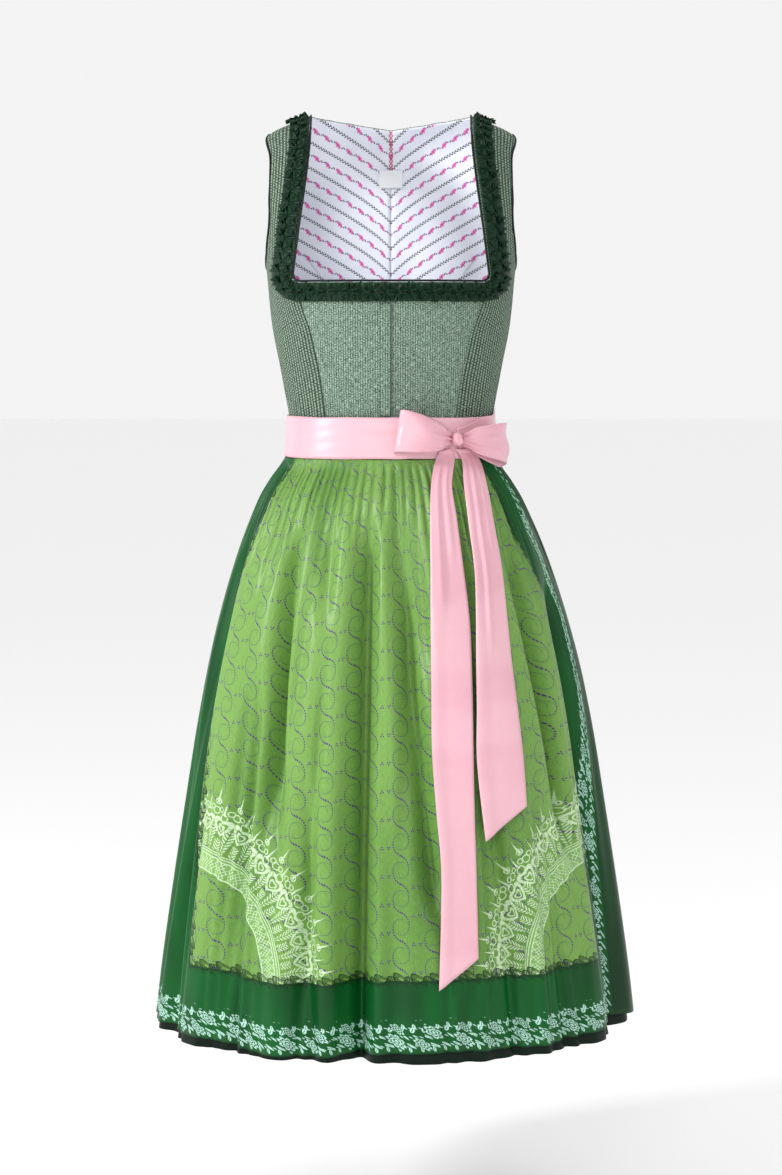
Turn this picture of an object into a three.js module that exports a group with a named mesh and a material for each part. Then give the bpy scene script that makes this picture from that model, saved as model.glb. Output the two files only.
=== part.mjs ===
// A dirndl dress: princess-seamed bodice, gathered skirt, apron with waistband, ribbon ties and a bow.
// Millimetres, +Z up. The front faces -Y and the wearer's left is +X.
// The origin lies between the tops of the two shoulders, where the wearer carries the dress.
// Angles are degrees round the body: 0 centre front, 90 the left side, 180 centre back, -90 the right side.
import * as THREE from 'three';

// ---------------------------------------------------------------- driving dimensions
const BODICE_WALL = 1.2;
const LINING_WALL = 1.0;
const LINING_GAP = 1.6; // between the bodice cloth and its lining
const SKIRT_WALL = 1.4;
const APRON_WALL = 1.2;
const APRON_GAP = 0.6; // between the skirt and the apron on it
const RIBBON_WALL = 1.0;
const RIBBON_LAYER = 1.3; // one layer of ribbon and the gap to the next
const SEAM = 0.4; // gap between two pieces at a seam
const SECTION_POWER = 2.2; // the body's sections are ovals a little squarer than ellipses

const SKIRT_HEM_Z = -1125;
const APRON_TOP_Z = -418.4;
const APRON_HEM_Z = -1115;
const APRON_HEM_WAVE = 3;
const BAND_TOP_Z = -368;
const BAND_BOTTOM_Z = -418;

const NECK_BOTTOM_Z = -205;
const NECK_CORNER_RADIUS = 10;
const NECK_CORNER_X = 110; // centre of the round corner
const SHOULDER_SLOPE = 0.42; // fall of the shoulder seam for each mm sideways
const RUCHE_WIDTH = 24;
const RUCHE_THICK = 7.5;
const RUCHE_GAP = 2.0;
const PIPING_RADIUS = 1.2;
const PIPING_OUTSET = 2.1; // from the cloth's edge to the piping's middle
const PIPING_SIDES = 5;

const BODY_STEP = 4.5; // columns of the skirt and apron
const BAND_STEP = 6; // columns of the waistband and ties
const KNOT_ANGLE = 33;
const KNOT_Z = -394;

// Outer sizes of the bodice at each height: half width, depth in front of and behind the side seams.
const TORSO = [
  { z: -396, half: 127.0, front: 90.5, back: 81.5 },
  { z: -368, half: 126.8, front: 89.5, back: 80.5 },
  { z: -320, half: 136, front: 101, back: 84 },
  { z: -265, half: 146, front: 118, back: 90 },
  { z: -225, half: 151, front: 124, back: 94 },
  { z: -189, half: 154, front: 121, back: 97 },
  { z: -140, half: 161, front: 108, back: 100 },
  { z: -90, half: 162, front: 92, back: 97 },
  { z: -45, half: 156, front: 66, back: 84 },
  { z: -22, half: 149, front: 42, back: 62 },
  { z: 0, half: 100, front: 6, back: 30 },
];

// Inner sizes of the waistband, which the ties and the bow are built out from.
const BAND = [
  { z: -440, half: 132.6, front: 96.4, back: 87.4 },
  { z: -418, half: 131.3, front: 95.0, back: 86.0 },
  { z: -368, half: 127.4, front: 92.4, back: 81.6 },
  { z: -350, half: 126.2, front: 91.4, back: 80.6 },
];

// Outer sizes of the skirt over its ridges.
const SKIRT = [
  { z: -1125, half: 299, front: 248, back: 270 },
  { z: -1057, half: 291, front: 240, back: 262 },
  { z: -954, half: 276, front: 226, back: 248 },
  { z: -852, half: 260, front: 212, back: 232 },
  { z: -750, half: 243, front: 195, back: 214 },
  { z: -649, half: 221, front: 175, back: 190 },
  { z: -548, half: 193, front: 150, back: 157 },
  { z: -473, half: 164, front: 124, back: 122 },
  { z: -448, half: 150, front: 111, back: 104 },
  { z: -418, half: 129.4, front: 93.4, back: 84.4 },
  { z: -396, half: 127.0, front: 90.8, back: 81.4 },
];
const SKIRT_ROWS = [-396.4, -418.4, -436, -460, -500, -560, -650, -760, -880, -1000, -1125];

// The large folds of the skirt and apron: where each trough starts and ends round the body,
// the heights between which it shows, its half width in degrees and its depth.
const FOLDS = [
  { top: -96, foot: -92, from: -470, to: -1200, spread: 5, depth: 9 },
  { top: -74, foot: -66, from: -480, to: -1200, spread: 4, depth: 12 },
  { top: -49, foot: -42, from: -430, to: -600, spread: 3, depth: 7 },
  { top: -39, foot: -28, from: -450, to: -900, spread: 3.5, depth: 14 },
  { top: -44, foot: -40, from: -640, to: -1200, spread: 4, depth: 9 },
  { top: -24, foot: -12, from: -440, to: -640, spread: 3, depth: 9 },
  { top: -24, foot: -18, from: -740, to: -1200, spread: 4, depth: 8 },
  { top: -8, foot: -7, from: -450, to: -1200, spread: 3.5, depth: 19 },
  { top: 0, foot: 12, from: -440, to: -1000, spread: 3, depth: 11 },
  { top: 6, foot: 12, from: -440, to: -720, spread: 3, depth: 8 },
  { top: 24, foot: 28, from: -450, to: -1200, spread: 4.5, depth: 9 },
  { top: 47, foot: 60, from: -470, to: -950, spread: 4, depth: 15 },
  { top: 44, foot: 45, from: -760, to: -1200, spread: 5, depth: 9 },
  { top: 70, foot: 72, from: -540, to: -1200, spread: 5, depth: 15 },
  { top: 99, foot: 97, from: -470, to: -1200, spread: 5, depth: 11 },
  { top: 117, foot: 115, from: -440, to: -1200, spread: 5, depth: 15 },
  { top: 132, foot: 133, from: -450, to: -1200, spread: 4, depth: 10 },
  { top: 147, foot: 149, from: -440, to: -1200, spread: 5, depth: 17 },
  { top: 164, foot: 166, from: -460, to: -1200, spread: 4, depth: 11 },
  { top: 181, foot: 184, from: -440, to: -1200, spread: 5, depth: 16 },
  { top: 198, foot: 199, from: -450, to: -1200, spread: 4, depth: 10 },
  { top: 213, foot: 216, from: -440, to: -1200, spread: 5, depth: 16 },
  { top: 230, foot: 231, from: -460, to: -1200, spread: 4, depth: 10 },
  { top: 247, foot: 246, from: -440, to: -1200, spread: 5, depth: 14 },
];
const FOLD_FADE = 110; // height over which a fold grows or dies away
const GATHER_DEPTH = 3; // fine gathers just under the waistband
const GATHER_FOOT_Z = -530;

// Side-front piece: its inner edge climbs the princess seam and the neck, its outer edge the
// side seam and the armhole. The neck part of the inner edge comes from the neck's own formula.
const PRINCESS_SEAM = [
  { z: -396, x: 78 },
  { z: -378, x: 79 },
  { z: -350, x: 82 },
  { z: -320, x: 86 },
  { z: -290, x: 92 },
  { z: -262, x: 98 },
  { z: -235, x: 108 },
  { z: -205, x: 114 },
];
const NECK_EDGE = [
  { z: -195, x: 120 },
  { z: -140, x: 113 },
  { z: -90, x: 106 },
  { z: -45, x: 101 },
  { z: -22, x: 100 },
  { z: 0, x: 100 },
];
const SIDE_FRONT_ROWS = [
  { inner: -396, outer: -396, angle: 90 },
  { inner: -368, outer: -368, angle: 90 },
  { inner: -340, outer: -340, angle: 90 },
  { inner: -305, outer: -305, angle: 90 },
  { inner: -270, outer: -265, angle: 90 },
  { inner: -235, outer: -225, angle: 90 },
  { inner: -205, outer: -201, angle: 90 },
  { inner: -202.2, outer: -197, angle: 90 },
  { inner: -199, outer: -193, angle: 90 },
  { inner: -195, outer: -189, angle: 90 },
  { inner: -172, outer: -170, angle: 76 },
  { inner: -142, outer: -140, angle: 66.6 },
  { inner: -110, outer: -108, angle: 63.8 },
  { inner: -78, outer: -78, angle: 64.5 },
  { inner: -45, outer: -52, angle: 68 },
  { inner: -22, outer: -35, angle: 76 },
  { inner: -9, outer: -26, angle: 84 },
  { inner: 0, outer: -22, angle: 90 },
];

// Back pieces: heights of the centre line and of the line under the neck point, and the outer
// edge of the centre back, which climbs its shaping seam, then the armhole.
const BACK_NECK_Z = -14;
const CENTRE_BACK_ROWS = [
  { middle: -396, neckX: 30, neckZ: -396, seamX: 42, edgeZ: -396 },
  { middle: -368, neckX: 30, neckZ: -368, seamX: 43, edgeZ: -368 },
  { middle: -330, neckX: 34, neckZ: -330, seamX: 48, edgeZ: -330 },
  { middle: -290, neckX: 40, neckZ: -290, seamX: 56, edgeZ: -290 },
  { middle: -250, neckX: 48, neckZ: -248, seamX: 68, edgeZ: -245 },
  { middle: -208, neckX: 56, neckZ: -204, seamX: 86, edgeZ: -204 },
  { middle: -170, neckX: 66, neckZ: -163, seamX: 108, edgeZ: -168 },
  { middle: -135, neckX: 76, neckZ: -126, seamX: 136, edgeZ: -140 },
  { middle: -100, neckX: 86, neckZ: -88, angle: 112, edgeZ: -108 },
  { middle: -70, neckX: 93, neckZ: -54, angle: 112, edgeZ: -78 },
  { middle: -44, neckX: 98, neckZ: -28, angle: 109, edgeZ: -52 },
  { middle: -26, neckX: 100, neckZ: -11, angle: 100, edgeZ: -33 },
  { middle: BACK_NECK_Z, neckX: 100, neckZ: 0, angle: 90, edgeZ: -22 },
];
// Side back: its inner edge is the centre back's seam, its outer edge the side seam, and its top the armhole.
const SIDE_BACK_ROWS = [
  { inner: -396, outer: -396 },
  { inner: -368, outer: -368 },
  { inner: -330, outer: -330 },
  { inner: -290, outer: -290 },
  { inner: -245, outer: -252 },
  { inner: -204, outer: -222 },
  { inner: -168, outer: -203 },
  { inner: -140, outer: -189 },
];
const UNDERARM_Z = -189;
const UNDERARM_TURN = 1.25; // how the armhole's edge bends between the shaping seam and the underarm
const UNDERARM_FALL = 0.8;

const LABEL_HALF_WIDTH = 15;
const LABEL_TOP_Z = -60;
const LABEL_BOTTOM_Z = -83;
const LABEL_GAP = 2.8;

// The two hanging ends of the bow: left and right edges at each height.
const LONG_TAIL = [
  { zLeft: -408, zRight: -405, left: 58, right: 72 },
  { zLeft: -420, zRight: -418, left: 52, right: 75 },
  { zLeft: -450, zRight: -450, left: 47, right: 72 },
  { zLeft: -490, zRight: -490, left: 46, right: 78 },
  { zLeft: -548, zRight: -548, left: 46, right: 86 },
  { zLeft: -611, zRight: -611, left: 46, right: 93 },
  { zLeft: -690, zRight: -690, left: 47, right: 95 },
  { zLeft: -757, zRight: -757, left: 48, right: 96 },
  { zLeft: -830, zRight: -830, left: 53, right: 98 },
  { zLeft: -890, zRight: -890, left: 58, right: 100 },
  { zLeft: -950, zRight: -940, left: 58, right: 101 },
  { zLeft: -1038, zRight: -1002, left: 56, right: 102 },
];
const SHORT_TAIL = [
  { zLeft: -406, zRight: -406, left: 76, right: 90 },
  { zLeft: -420, zRight: -420, left: 83, right: 104 },
  { zLeft: -450, zRight: -450, left: 85, right: 112 },
  { zLeft: -490, zRight: -490, left: 90, right: 119 },
  { zLeft: -548, zRight: -548, left: 97, right: 130 },
  { zLeft: -600, zRight: -600, left: 98, right: 136 },
  { zLeft: -653, zRight: -653, left: 98, right: 141 },
  { zLeft: -710, zRight: -710, left: 99, right: 147 },
  { zLeft: -775, zRight: -765, left: 100, right: 153 },
  { zLeft: -866, zRight: -828, left: 110, right: 158 },
];
const TAIL_CLEARANCE = 3.6; // from the apron's ridges to the long end
const TAIL_STACK = 2.4; // the short end hangs this much further out

// Each loop of the bow, from the knot out along its front layer and back along its rear layer:
// share of the loop's reach, distance from the waistband and height of the ribbon.
const BOW_LOOP = [
  { reach: 0.0, out: 12.5, tall: 16 },
  { reach: 0.25, out: 16, tall: 32 },
  { reach: 0.6, out: 20, tall: 44 },
  { reach: 0.88, out: 20.5, tall: 50 },
  { reach: 0.98, out: 18, tall: 51 },
  { reach: 1.0, out: 14, tall: 51 },
  { reach: 0.97, out: 10, tall: 50 },
  { reach: 0.8, out: 9.4, tall: 46 },
  { reach: 0.5, out: 9.2, tall: 40 },
  { reach: 0.2, out: 8.8, tall: 28 },
  { reach: 0.0, out: 8.6, tall: 16 },
];
const LEFT_LOOP = { end: 2, rise: 12 }; // angle that the loop over the front reaches, and how far it lifts there
const RIGHT_LOOP = { end: 74, rise: -7 };
const KNOT_HALF_ANGLE = 4.4; // angle from the knot's middle to where the loops start

// ---------------------------------------------------------------- colours
const finish = (colour, roughness) => new THREE.MeshStandardMaterial({
  color: colour, roughness, metalness: 0, side: THREE.FrontSide,
});
const CENTRE_TWEED = finish(0x789381, 0.85);
const SIDE_TWEED = finish(0x4a5c46, 0.88);
const SKIRT_GREEN = finish(0x0a1f14, 0.6);
const APRON_GREEN = finish(0x719e58, 0.45);
const RUCHE_GREEN = finish(0x193825, 0.5);
const PINK_SATIN = finish(0xf0c2cd, 0.35);
const LINING_WHITE = finish(0xf6f8ff, 0.8);

// ---------------------------------------------------------------- small helpers
const radians = THREE.MathUtils.degToRad;
const mix = THREE.MathUtils.lerp;
const smooth = (from, to, value) => {
  const t = THREE.MathUtils.clamp((value - from) / (to - from), 0, 1);
  return t * t * (3 - 2 * t);
};
const fractions = (count) => Array.from({ length: count + 1 }, (_, i) => i / count);
const steps = (from, to, step) => {
  const count = Math.round(Math.abs(to - from) / step);
  return fractions(count).map((f) => mix(from, to, f));
};

// Value of a table's column at z, along a smooth curve through its rows; straight past its ends.
function column(table, key, z) {
  const rows = table[0].z < table[table.length - 1].z ? table : [...table].reverse();
  const last = rows.length - 1;
  let i = rows.findIndex((row) => row.z >= z) - 1;
  if (z <= rows[0].z) i = 0;
  if (z >= rows[last].z) i = last - 1;
  const slope = (k) => {
    const a = rows[Math.max(k - 1, 0)];
    const b = rows[Math.min(k + 1, last)];
    return (b[key] - a[key]) / (b.z - a.z);
  };
  const span = rows[i + 1].z - rows[i].z;
  const t = (z - rows[i].z) / span;
  if (t < 0) return rows[0][key] + (z - rows[0].z) * slope(0);
  if (t > 1) return rows[last][key] + (z - rows[last].z) * slope(last);
  const rise = t * t * (3 - 2 * t);
  const start = t * (1 - t) * (1 - t) * span * slope(i);
  const end = t * t * (t - 1) * span * slope(i + 1);
  return rows[i][key] * (1 - rise) + rows[i + 1][key] * rise + start + end;
}

const ovalTerm = (value) => Math.sign(value) * Math.abs(value) ** (2 / SECTION_POWER);

function ring(table, angle, z) {
  const turn = radians(angle);
  const depth = Math.cos(turn) > 0 ? column(table, 'front', z) : column(table, 'back', z);
  const x = column(table, 'half', z) * ovalTerm(Math.sin(turn));
  return new THREE.Vector3(x, -depth * ovalTerm(Math.cos(turn)), z);
}

function outward(table, angle, z, level) {
  const around = ring(table, angle + 0.5, z).sub(ring(table, angle - 0.5, z));
  const up = level ? new THREE.Vector3(0, 0, 1) : ring(table, angle, z + 0.5).sub(ring(table, angle, z - 0.5));
  return around.cross(up).normalize();
}

const onSurface = (table, angle, z, out) => ring(table, angle, z)
  .addScaledVector(outward(table, angle, z, false), out);

// Angle of the point at x on the section at z, in front of the sides or behind them.
function angleAt(table, x, z, behind) {
  const share = THREE.MathUtils.clamp(Math.abs(x) / column(table, 'half', z), 0, 1);
  const angle = THREE.MathUtils.radToDeg(Math.asin(share ** (SECTION_POWER / 2)));
  return (x < 0 ? -1 : 1) * (behind ? 180 - angle : angle);
}

// ---------------------------------------------------------------- solids
const dress = new THREE.Group();

function addSolid(name, material, points, triangles) {
  const volume = triangles.reduce((sum, [a, b, c]) => (
    sum + points[a].dot(points[b].clone().cross(points[c]))), 0);
  const faces = volume < 0 ? triangles.map(([a, b, c]) => [a, c, b]) : triangles;
  const geometry = new THREE.BufferGeometry();
  geometry.setAttribute('position', new THREE.Float32BufferAttribute(points.flatMap((p) => p.toArray()), 3));
  geometry.setIndex(faces.flat());
  geometry.computeVertexNormals();
  const mesh = new THREE.Mesh(geometry, material);
  mesh.name = name;
  dress.add(mesh);
}

// A wall between two grids of points with the same rows, which may differ in length: a cell lies
// where both of its rows have points. The wall closes along every edge that has a cell on one side.
// The first `crossed` columns of cells take the other diagonal, so that two halves mirror each other.
function addWall(name, material, outer, inner, crossed = 0) {
  const starts = [];
  outer.reduce((sum, row) => {
    starts.push(sum);
    return sum + row.length;
  }, 0);
  const points = [...outer.flat(), ...inner.flat()];
  const behind = points.length / 2;
  const triangles = [];
  const sides = new Map();
  for (let r = 0; r < outer.length - 1; r += 1) {
    const cells = Math.min(outer[r].length, outer[r + 1].length) - 1;
    for (let c = 0; c < cells; c += 1) {
      const corners = [starts[r] + c, starts[r] + c + 1, starts[r + 1] + c + 1, starts[r + 1] + c];
      const [a, b, d, e] = corners;
      const [a2, b2, d2, e2] = corners.map((corner) => corner + behind);
      if (c < crossed) triangles.push([a, b, e], [b, d, e], [a2, e2, b2], [b2, e2, d2]);
      else triangles.push([a, b, d], [a, d, e], [a2, d2, b2], [a2, e2, d2]);
      corners.forEach((corner, i) => {
        const next = corners[(i + 1) % 4];
        if (!sides.delete(`${next} ${corner}`)) sides.set(`${corner} ${next}`, [corner, next]);
      });
    }
  }
  sides.forEach(([p, q]) => triangles.push([q, p, p + behind], [q, p + behind, q + behind]));
  addSolid(name, material, points, triangles);
}

// A wall on the torso: `places` is a grid of { angle, z }, and `side` -1 or 1 keeps it in front
// of or behind the plane of the side and shoulder seams.
function addPanel(name, material, places, outerOut, wall, side, crossed = 0) {
  const layer = (out) => places.map((row) => row.map(({ angle, z }) => {
    const point = onSurface(TORSO, angle, z, out);
    if (side * point.y < SEAM / 2 && side !== 0) point.y = side * (SEAM / 2);
    return point;
  }));
  addWall(name, material, layer(outerOut), layer(outerOut - wall), crossed);
}

const between = (a, b, count) => fractions(count).map((f) => ({
  angle: mix(a.angle, b.angle, f),
  z: mix(a.z, b.z, f),
}));
const mirrored = (places) => places.map((row) => row.map(({ angle, z }) => ({ angle: -angle, z })));

// A tube round a line of places on the torso, set off the cloth's edge by `outset`.
function addPiping(name, places, outset, closed) {
  const count = places.length;
  const spots = places.map(({ angle, z }) => onSurface(TORSO, angle, z, 0));
  const rings = spots.map((spot, i) => {
    const next = spots[closed ? (i + 1) % count : Math.min(i + 1, count - 1)];
    const last = spots[closed ? (i + count - 1) % count : Math.max(i - 1, 0)];
    const normal = outward(TORSO, places[i].angle, places[i].z, false);
    const away = next.clone().sub(last).cross(normal).normalize();
    const middle = spot.clone().addScaledVector(away, outset).addScaledVector(normal, -BODICE_WALL / 2);
    return fractions(PIPING_SIDES).slice(0, PIPING_SIDES).map((f) => middle.clone()
      .addScaledVector(away, PIPING_RADIUS * Math.cos(2 * Math.PI * f))
      .addScaledVector(normal, PIPING_RADIUS * Math.sin(2 * Math.PI * f)));
  });
  addRings(name, RUCHE_GREEN, rings, closed);
}

// A solid through rings of points, with flat ends unless it closes on itself.
function addRings(name, material, rings, closed) {
  const sides = rings[0].length;
  const triangles = [];
  const last = closed ? rings.length : rings.length - 1;
  for (let i = 0; i < last; i += 1) {
    const near = i * sides;
    const far = ((i + 1) % rings.length) * sides;
    for (let k = 0; k < sides; k += 1) {
      const next = (k + 1) % sides;
      triangles.push([near + k, near + next, far + next], [near + k, far + next, far + k]);
    }
  }
  for (let k = 1; k < sides - 1 && !closed; k += 1) {
    const far = (rings.length - 1) * sides;
    triangles.push([0, k + 1, k], [far, far + k, far + k + 1]);
  }
  addSolid(name, material, rings.flat(), triangles);
}

// ---------------------------------------------------------------- bodice
// A place beside the neck edge: `run` goes from the front's middle (0) up to the shoulder (1),
// then a little over it; `aside` is the distance into the cloth.
const CORNER_STEPS = 4;
const NECK_RUN = [
  ...[0, 0.25, 0.5, 0.75].map((f) => ({ kind: 'bottom', x: f * NECK_CORNER_X })),
  ...fractions(CORNER_STEPS).map((f) => ({ kind: 'corner', turn: 90 * f })),
  ...[-172, -142, -110, -78, -45, -22, -9].map((z) => ({ kind: 'strap', z })),
  { kind: 'shoulder' },
];

// Distance of the neck edge from the middle: the strap's curve, with the round corner below it.
function neckX(z) {
  const drop = NECK_BOTTOM_Z + NECK_CORNER_RADIUS - z;
  if (drop <= 0) return column(NECK_EDGE, 'x', z);
  return NECK_CORNER_X + Math.sqrt(Math.max(NECK_CORNER_RADIUS ** 2 - drop ** 2, 0));
}

function neckPlace(spot, aside) {
  if (spot.kind === 'shoulder') return { angle: 90, z: -SHOULDER_SLOPE * aside };
  let x = spot.x;
  let z = NECK_BOTTOM_Z - aside;
  if (spot.kind === 'corner') {
    const reach = NECK_CORNER_RADIUS + aside;
    x = NECK_CORNER_X + reach * Math.sin(radians(spot.turn));
    z = NECK_BOTTOM_Z + NECK_CORNER_RADIUS - reach * Math.cos(radians(spot.turn));
  }
  if (spot.kind === 'strap') {
    x = neckX(spot.z) + aside;
    z = spot.z - aside * SHOULDER_SLOPE * smooth(-80, 0, spot.z);
  }
  return { angle: angleAt(TORSO, x, z, false), z };
}

const OVER_SHOULDER = [ // the ruching's end, just behind the shoulder seam
  { inner: { angle: 112, z: -3 }, outer: { angle: 103, z: -14 } },
];

function addFrontPanels() {
  const heights = [-396, -368, -340, -305, -270, -235, NECK_BOTTOM_Z];
  const centre = heights.map((z) => fractions(5).map((f) => {
    const x = mix(SEAM / 2, column(PRINCESS_SEAM, 'x', z) - SEAM / 2, f);
    return { angle: angleAt(TORSO, x, z, false), z };
  }));
  addPanel('front_center_l', CENTRE_TWEED, centre, 0, BODICE_WALL, 0);
  addPanel('front_center_r', CENTRE_TWEED, mirrored(centre), 0, BODICE_WALL, 0);

  const side = SIDE_FRONT_ROWS.map(({ inner, outer, angle }) => {
    const onSeam = inner <= NECK_BOTTOM_Z;
    const x = onSeam ? column(PRINCESS_SEAM, 'x', inner) + SEAM / 2 : neckX(inner);
    const start = { angle: angleAt(TORSO, x, inner, false), z: inner };
    return between(start, { angle, z: outer }, 5);
  });
  addPanel('front_side_l', SIDE_TWEED, side, 0, BODICE_WALL, -1);
  addPanel('front_side_r', SIDE_TWEED, mirrored(side), 0, BODICE_WALL, -1);

  // The fly: a stitched strip beside the front opening, on the wearer's right.
  const FLY_WIDTH = 12;
  const fly = [-366.5, -340, -305, -270, -231].map((z) => fractions(2).map((f) => {
    const x = -mix(SEAM / 2, FLY_WIDTH, f);
    return { angle: angleAt(TORSO, x, z, false), z };
  }));
  addPanel('fly_placket', CENTRE_TWEED, fly, 0.4 + LINING_WALL, LINING_WALL, 0);
}

function centreBackRow({ middle, neckX: sideX, neckZ, seamX, angle, edgeZ }, start, inset) {
  const centre = fractions(3).map((f) => {
    const z = mix(middle, neckZ, f);
    return { angle: angleAt(TORSO, mix(start, sideX, f), z, true), z };
  });
  const edge = { angle: angle ?? angleAt(TORSO, seamX - inset, edgeZ, true), z: edgeZ };
  return [...centre, ...between(centre[3], edge, 2).slice(1)];
}

function sideBackRows(inset) {
  const rows = SIDE_BACK_ROWS.map(({ inner, outer }, i) => {
    const x = CENTRE_BACK_ROWS[i].seamX + inset;
    return between({ angle: angleAt(TORSO, x, inner, true), z: inner }, { angle: 90, z: outer }, 5);
  });
  const top = rows[rows.length - 1];
  const start = { ...top[0] };
  const bend = fractions(top.length - 1);
  bend.forEach((f, i) => { // the highest row lies along the armhole
    top[i] = { angle: mix(start.angle, 90, f ** UNDERARM_TURN), z: mix(start.z, UNDERARM_Z, f ** UNDERARM_FALL) };
  });
  return rows;
}

function addBackPanels() {
  const whole = CENTRE_BACK_ROWS.map((row) => {
    const half = centreBackRow(row, 0, SEAM / 2);
    const other = half.slice(1).reverse().map(({ angle, z }) => ({ angle: 360 - angle, z }));
    return [...other, ...half];
  });
  addPanel('back_center', SIDE_TWEED, whole, 0, BODICE_WALL, 1, (whole[0].length - 1) / 2);
  const side = sideBackRows(SEAM / 2);
  addPanel('back_side_l', SIDE_TWEED, side, 0, BODICE_WALL, 1);
  addPanel('back_side_r', SIDE_TWEED, mirrored(side), 0, BODICE_WALL, 1);
}

// The lining follows the back pieces' own points from the middle to the side seam.
function addLining() {
  const side = sideBackRows(0);
  const half = CENTRE_BACK_ROWS.map((row, i) => {
    const centre = centreBackRow(row, SEAM / 2, 0);
    return i < side.length ? [...centre, ...side[i].slice(1)] : centre;
  });
  const out = -BODICE_WALL - LINING_GAP;
  addPanel('lining_back_l', LINING_WHITE, half, out, LINING_WALL, 1);
  addPanel('lining_back_r', LINING_WHITE, mirrored(half), out, LINING_WALL, 1);

  const label = [LABEL_BOTTOM_Z, LABEL_TOP_Z].map((z) => fractions(3).map((f) => {
    const x = mix(-LABEL_HALF_WIDTH, LABEL_HALF_WIDTH, f);
    const angle = angleAt(TORSO, x, z, true);
    return { angle: angle < 0 ? angle + 360 : angle, z };
  }));
  addPanel('label', LINING_WHITE, label, out - LINING_WALL - LABEL_GAP, LINING_WALL, 0);
}

function addNeckTrim() {
  const row = (spot) => [0.5, RUCHE_WIDTH / 2, RUCHE_WIDTH].map((aside) => neckPlace(spot, aside));
  const over = OVER_SHOULDER.map(({ inner, outer }) => between(inner, outer, 2));
  const left = [...NECK_RUN.map(row), ...over];
  const right = mirrored(left.slice(1)).reverse();
  addPanel('neck_ruching', RUCHE_GREEN, [...right, ...left], RUCHE_GAP + RUCHE_THICK, RUCHE_THICK, 0);

  const edge = NECK_RUN.map((spot) => neckPlace(spot, 0));
  const otherEdge = mirrored([edge.slice(1)])[0].reverse();
  addPiping('neck_piping', [...otherEdge, ...edge], -PIPING_OUTSET, false);
}

function addArmholePiping() {
  const front = SIDE_FRONT_ROWS.filter((row) => row.outer > UNDERARM_Z)
    .map(({ angle, outer }) => ({ angle, z: outer }));
  const back = CENTRE_BACK_ROWS.filter((row) => row.angle > 90)
    .map(({ angle, edgeZ }) => ({ angle, z: edgeZ }));
  const underarm = sideBackRows(0).pop();
  const loop = [...front, ...back.reverse(), ...underarm];
  addPiping('armhole_piping_l', loop, PIPING_OUTSET, true);
  addPiping('armhole_piping_r', mirrored([loop])[0], -PIPING_OUTSET, true);
}

// ---------------------------------------------------------------- skirt and apron
const turnBetween = (a, b) => ((a - b + 540) % 360) - 180;

function foldDepth(angle, z) {
  const deep = FOLDS.reduce((sum, { top, foot, from, to, spread, depth }) => {
    const middle = mix(top, foot, (z - from) / (SKIRT_HEM_Z - from));
    const across = Math.exp(-((turnBetween(angle, middle) / spread) ** 2));
    const grown = smooth(from, from - FOLD_FADE, z) * smooth(to, to + FOLD_FADE, z);
    const widening = Math.min(1, 0.45 + (from - z) / 500);
    return sum + depth * across * grown * widening;
  }, 0);
  const share = smooth(APRON_TOP_Z, APRON_TOP_Z - 30, z) * smooth(GATHER_FOOT_Z, GATHER_FOOT_Z + 70, z);
  const gather = GATHER_DEPTH * share * (0.5 - 0.5 * Math.cos(radians(angle) * (180 / BODY_STEP)));
  return deep + gather;
}

function skirtPoint(angle, z, out) {
  return ring(SKIRT, angle, z).addScaledVector(outward(SKIRT, angle, z, true), out - foldDepth(angle, z));
}

function addSkirtHalf(name, from, to, side) {
  const angles = steps(from, to, BODY_STEP);
  const layer = (out) => SKIRT_ROWS.map((z) => angles.map((angle) => {
    const point = skirtPoint(angle, z, out);
    if (side * point.y < SEAM / 2) point.y = side * (SEAM / 2);
    return point;
  }));
  addWall(name, SKIRT_GREEN, layer(0), layer(-SKIRT_WALL));
}

function addApron() {
  const angles = steps(-108, 85.5, BODY_STEP);
  const flare = (angle, z) => 7 * smooth(72, 85.5, angle) * smooth(-450, -700, z);
  const rows = SKIRT_ROWS.slice(1);
  const last = rows[rows.length - 2];
  const layer = (out) => rows.map((z) => angles.map((angle) => {
    const point = skirtPoint(angle, z, out + flare(angle, z));
    if (z > SKIRT_HEM_Z) return point;
    const hem = APRON_HEM_Z + APRON_HEM_WAVE * Math.sin(radians(angle * 6 + 40));
    return skirtPoint(angle, last, out + flare(angle, last)).lerp(point, (hem - last) / (z - last));
  }));
  addWall('apron', APRON_GREEN, layer(APRON_GAP + APRON_WALL), layer(APRON_GAP));
}

// ---------------------------------------------------------------- waistband, ties and bow
// A run of ribbon on the waistband's surface: `places` holds { angle, layer, pinch } and pinch
// is how much the ribbon's two edges draw in.
function addRibbonRun(name, places) {
  const layer = (out) => places.map(({ angle, level, pinchTop = 0, pinchBottom = 0 }) => [
    onSurface(BAND, angle, BAND_TOP_Z - pinchTop, level * RIBBON_LAYER + out),
    onSurface(BAND, angle, BAND_BOTTOM_Z + pinchBottom, level * RIBBON_LAYER + out),
  ]);
  addWall(name, PINK_SATIN, layer(RIBBON_WALL), layer(0));
}

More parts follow.
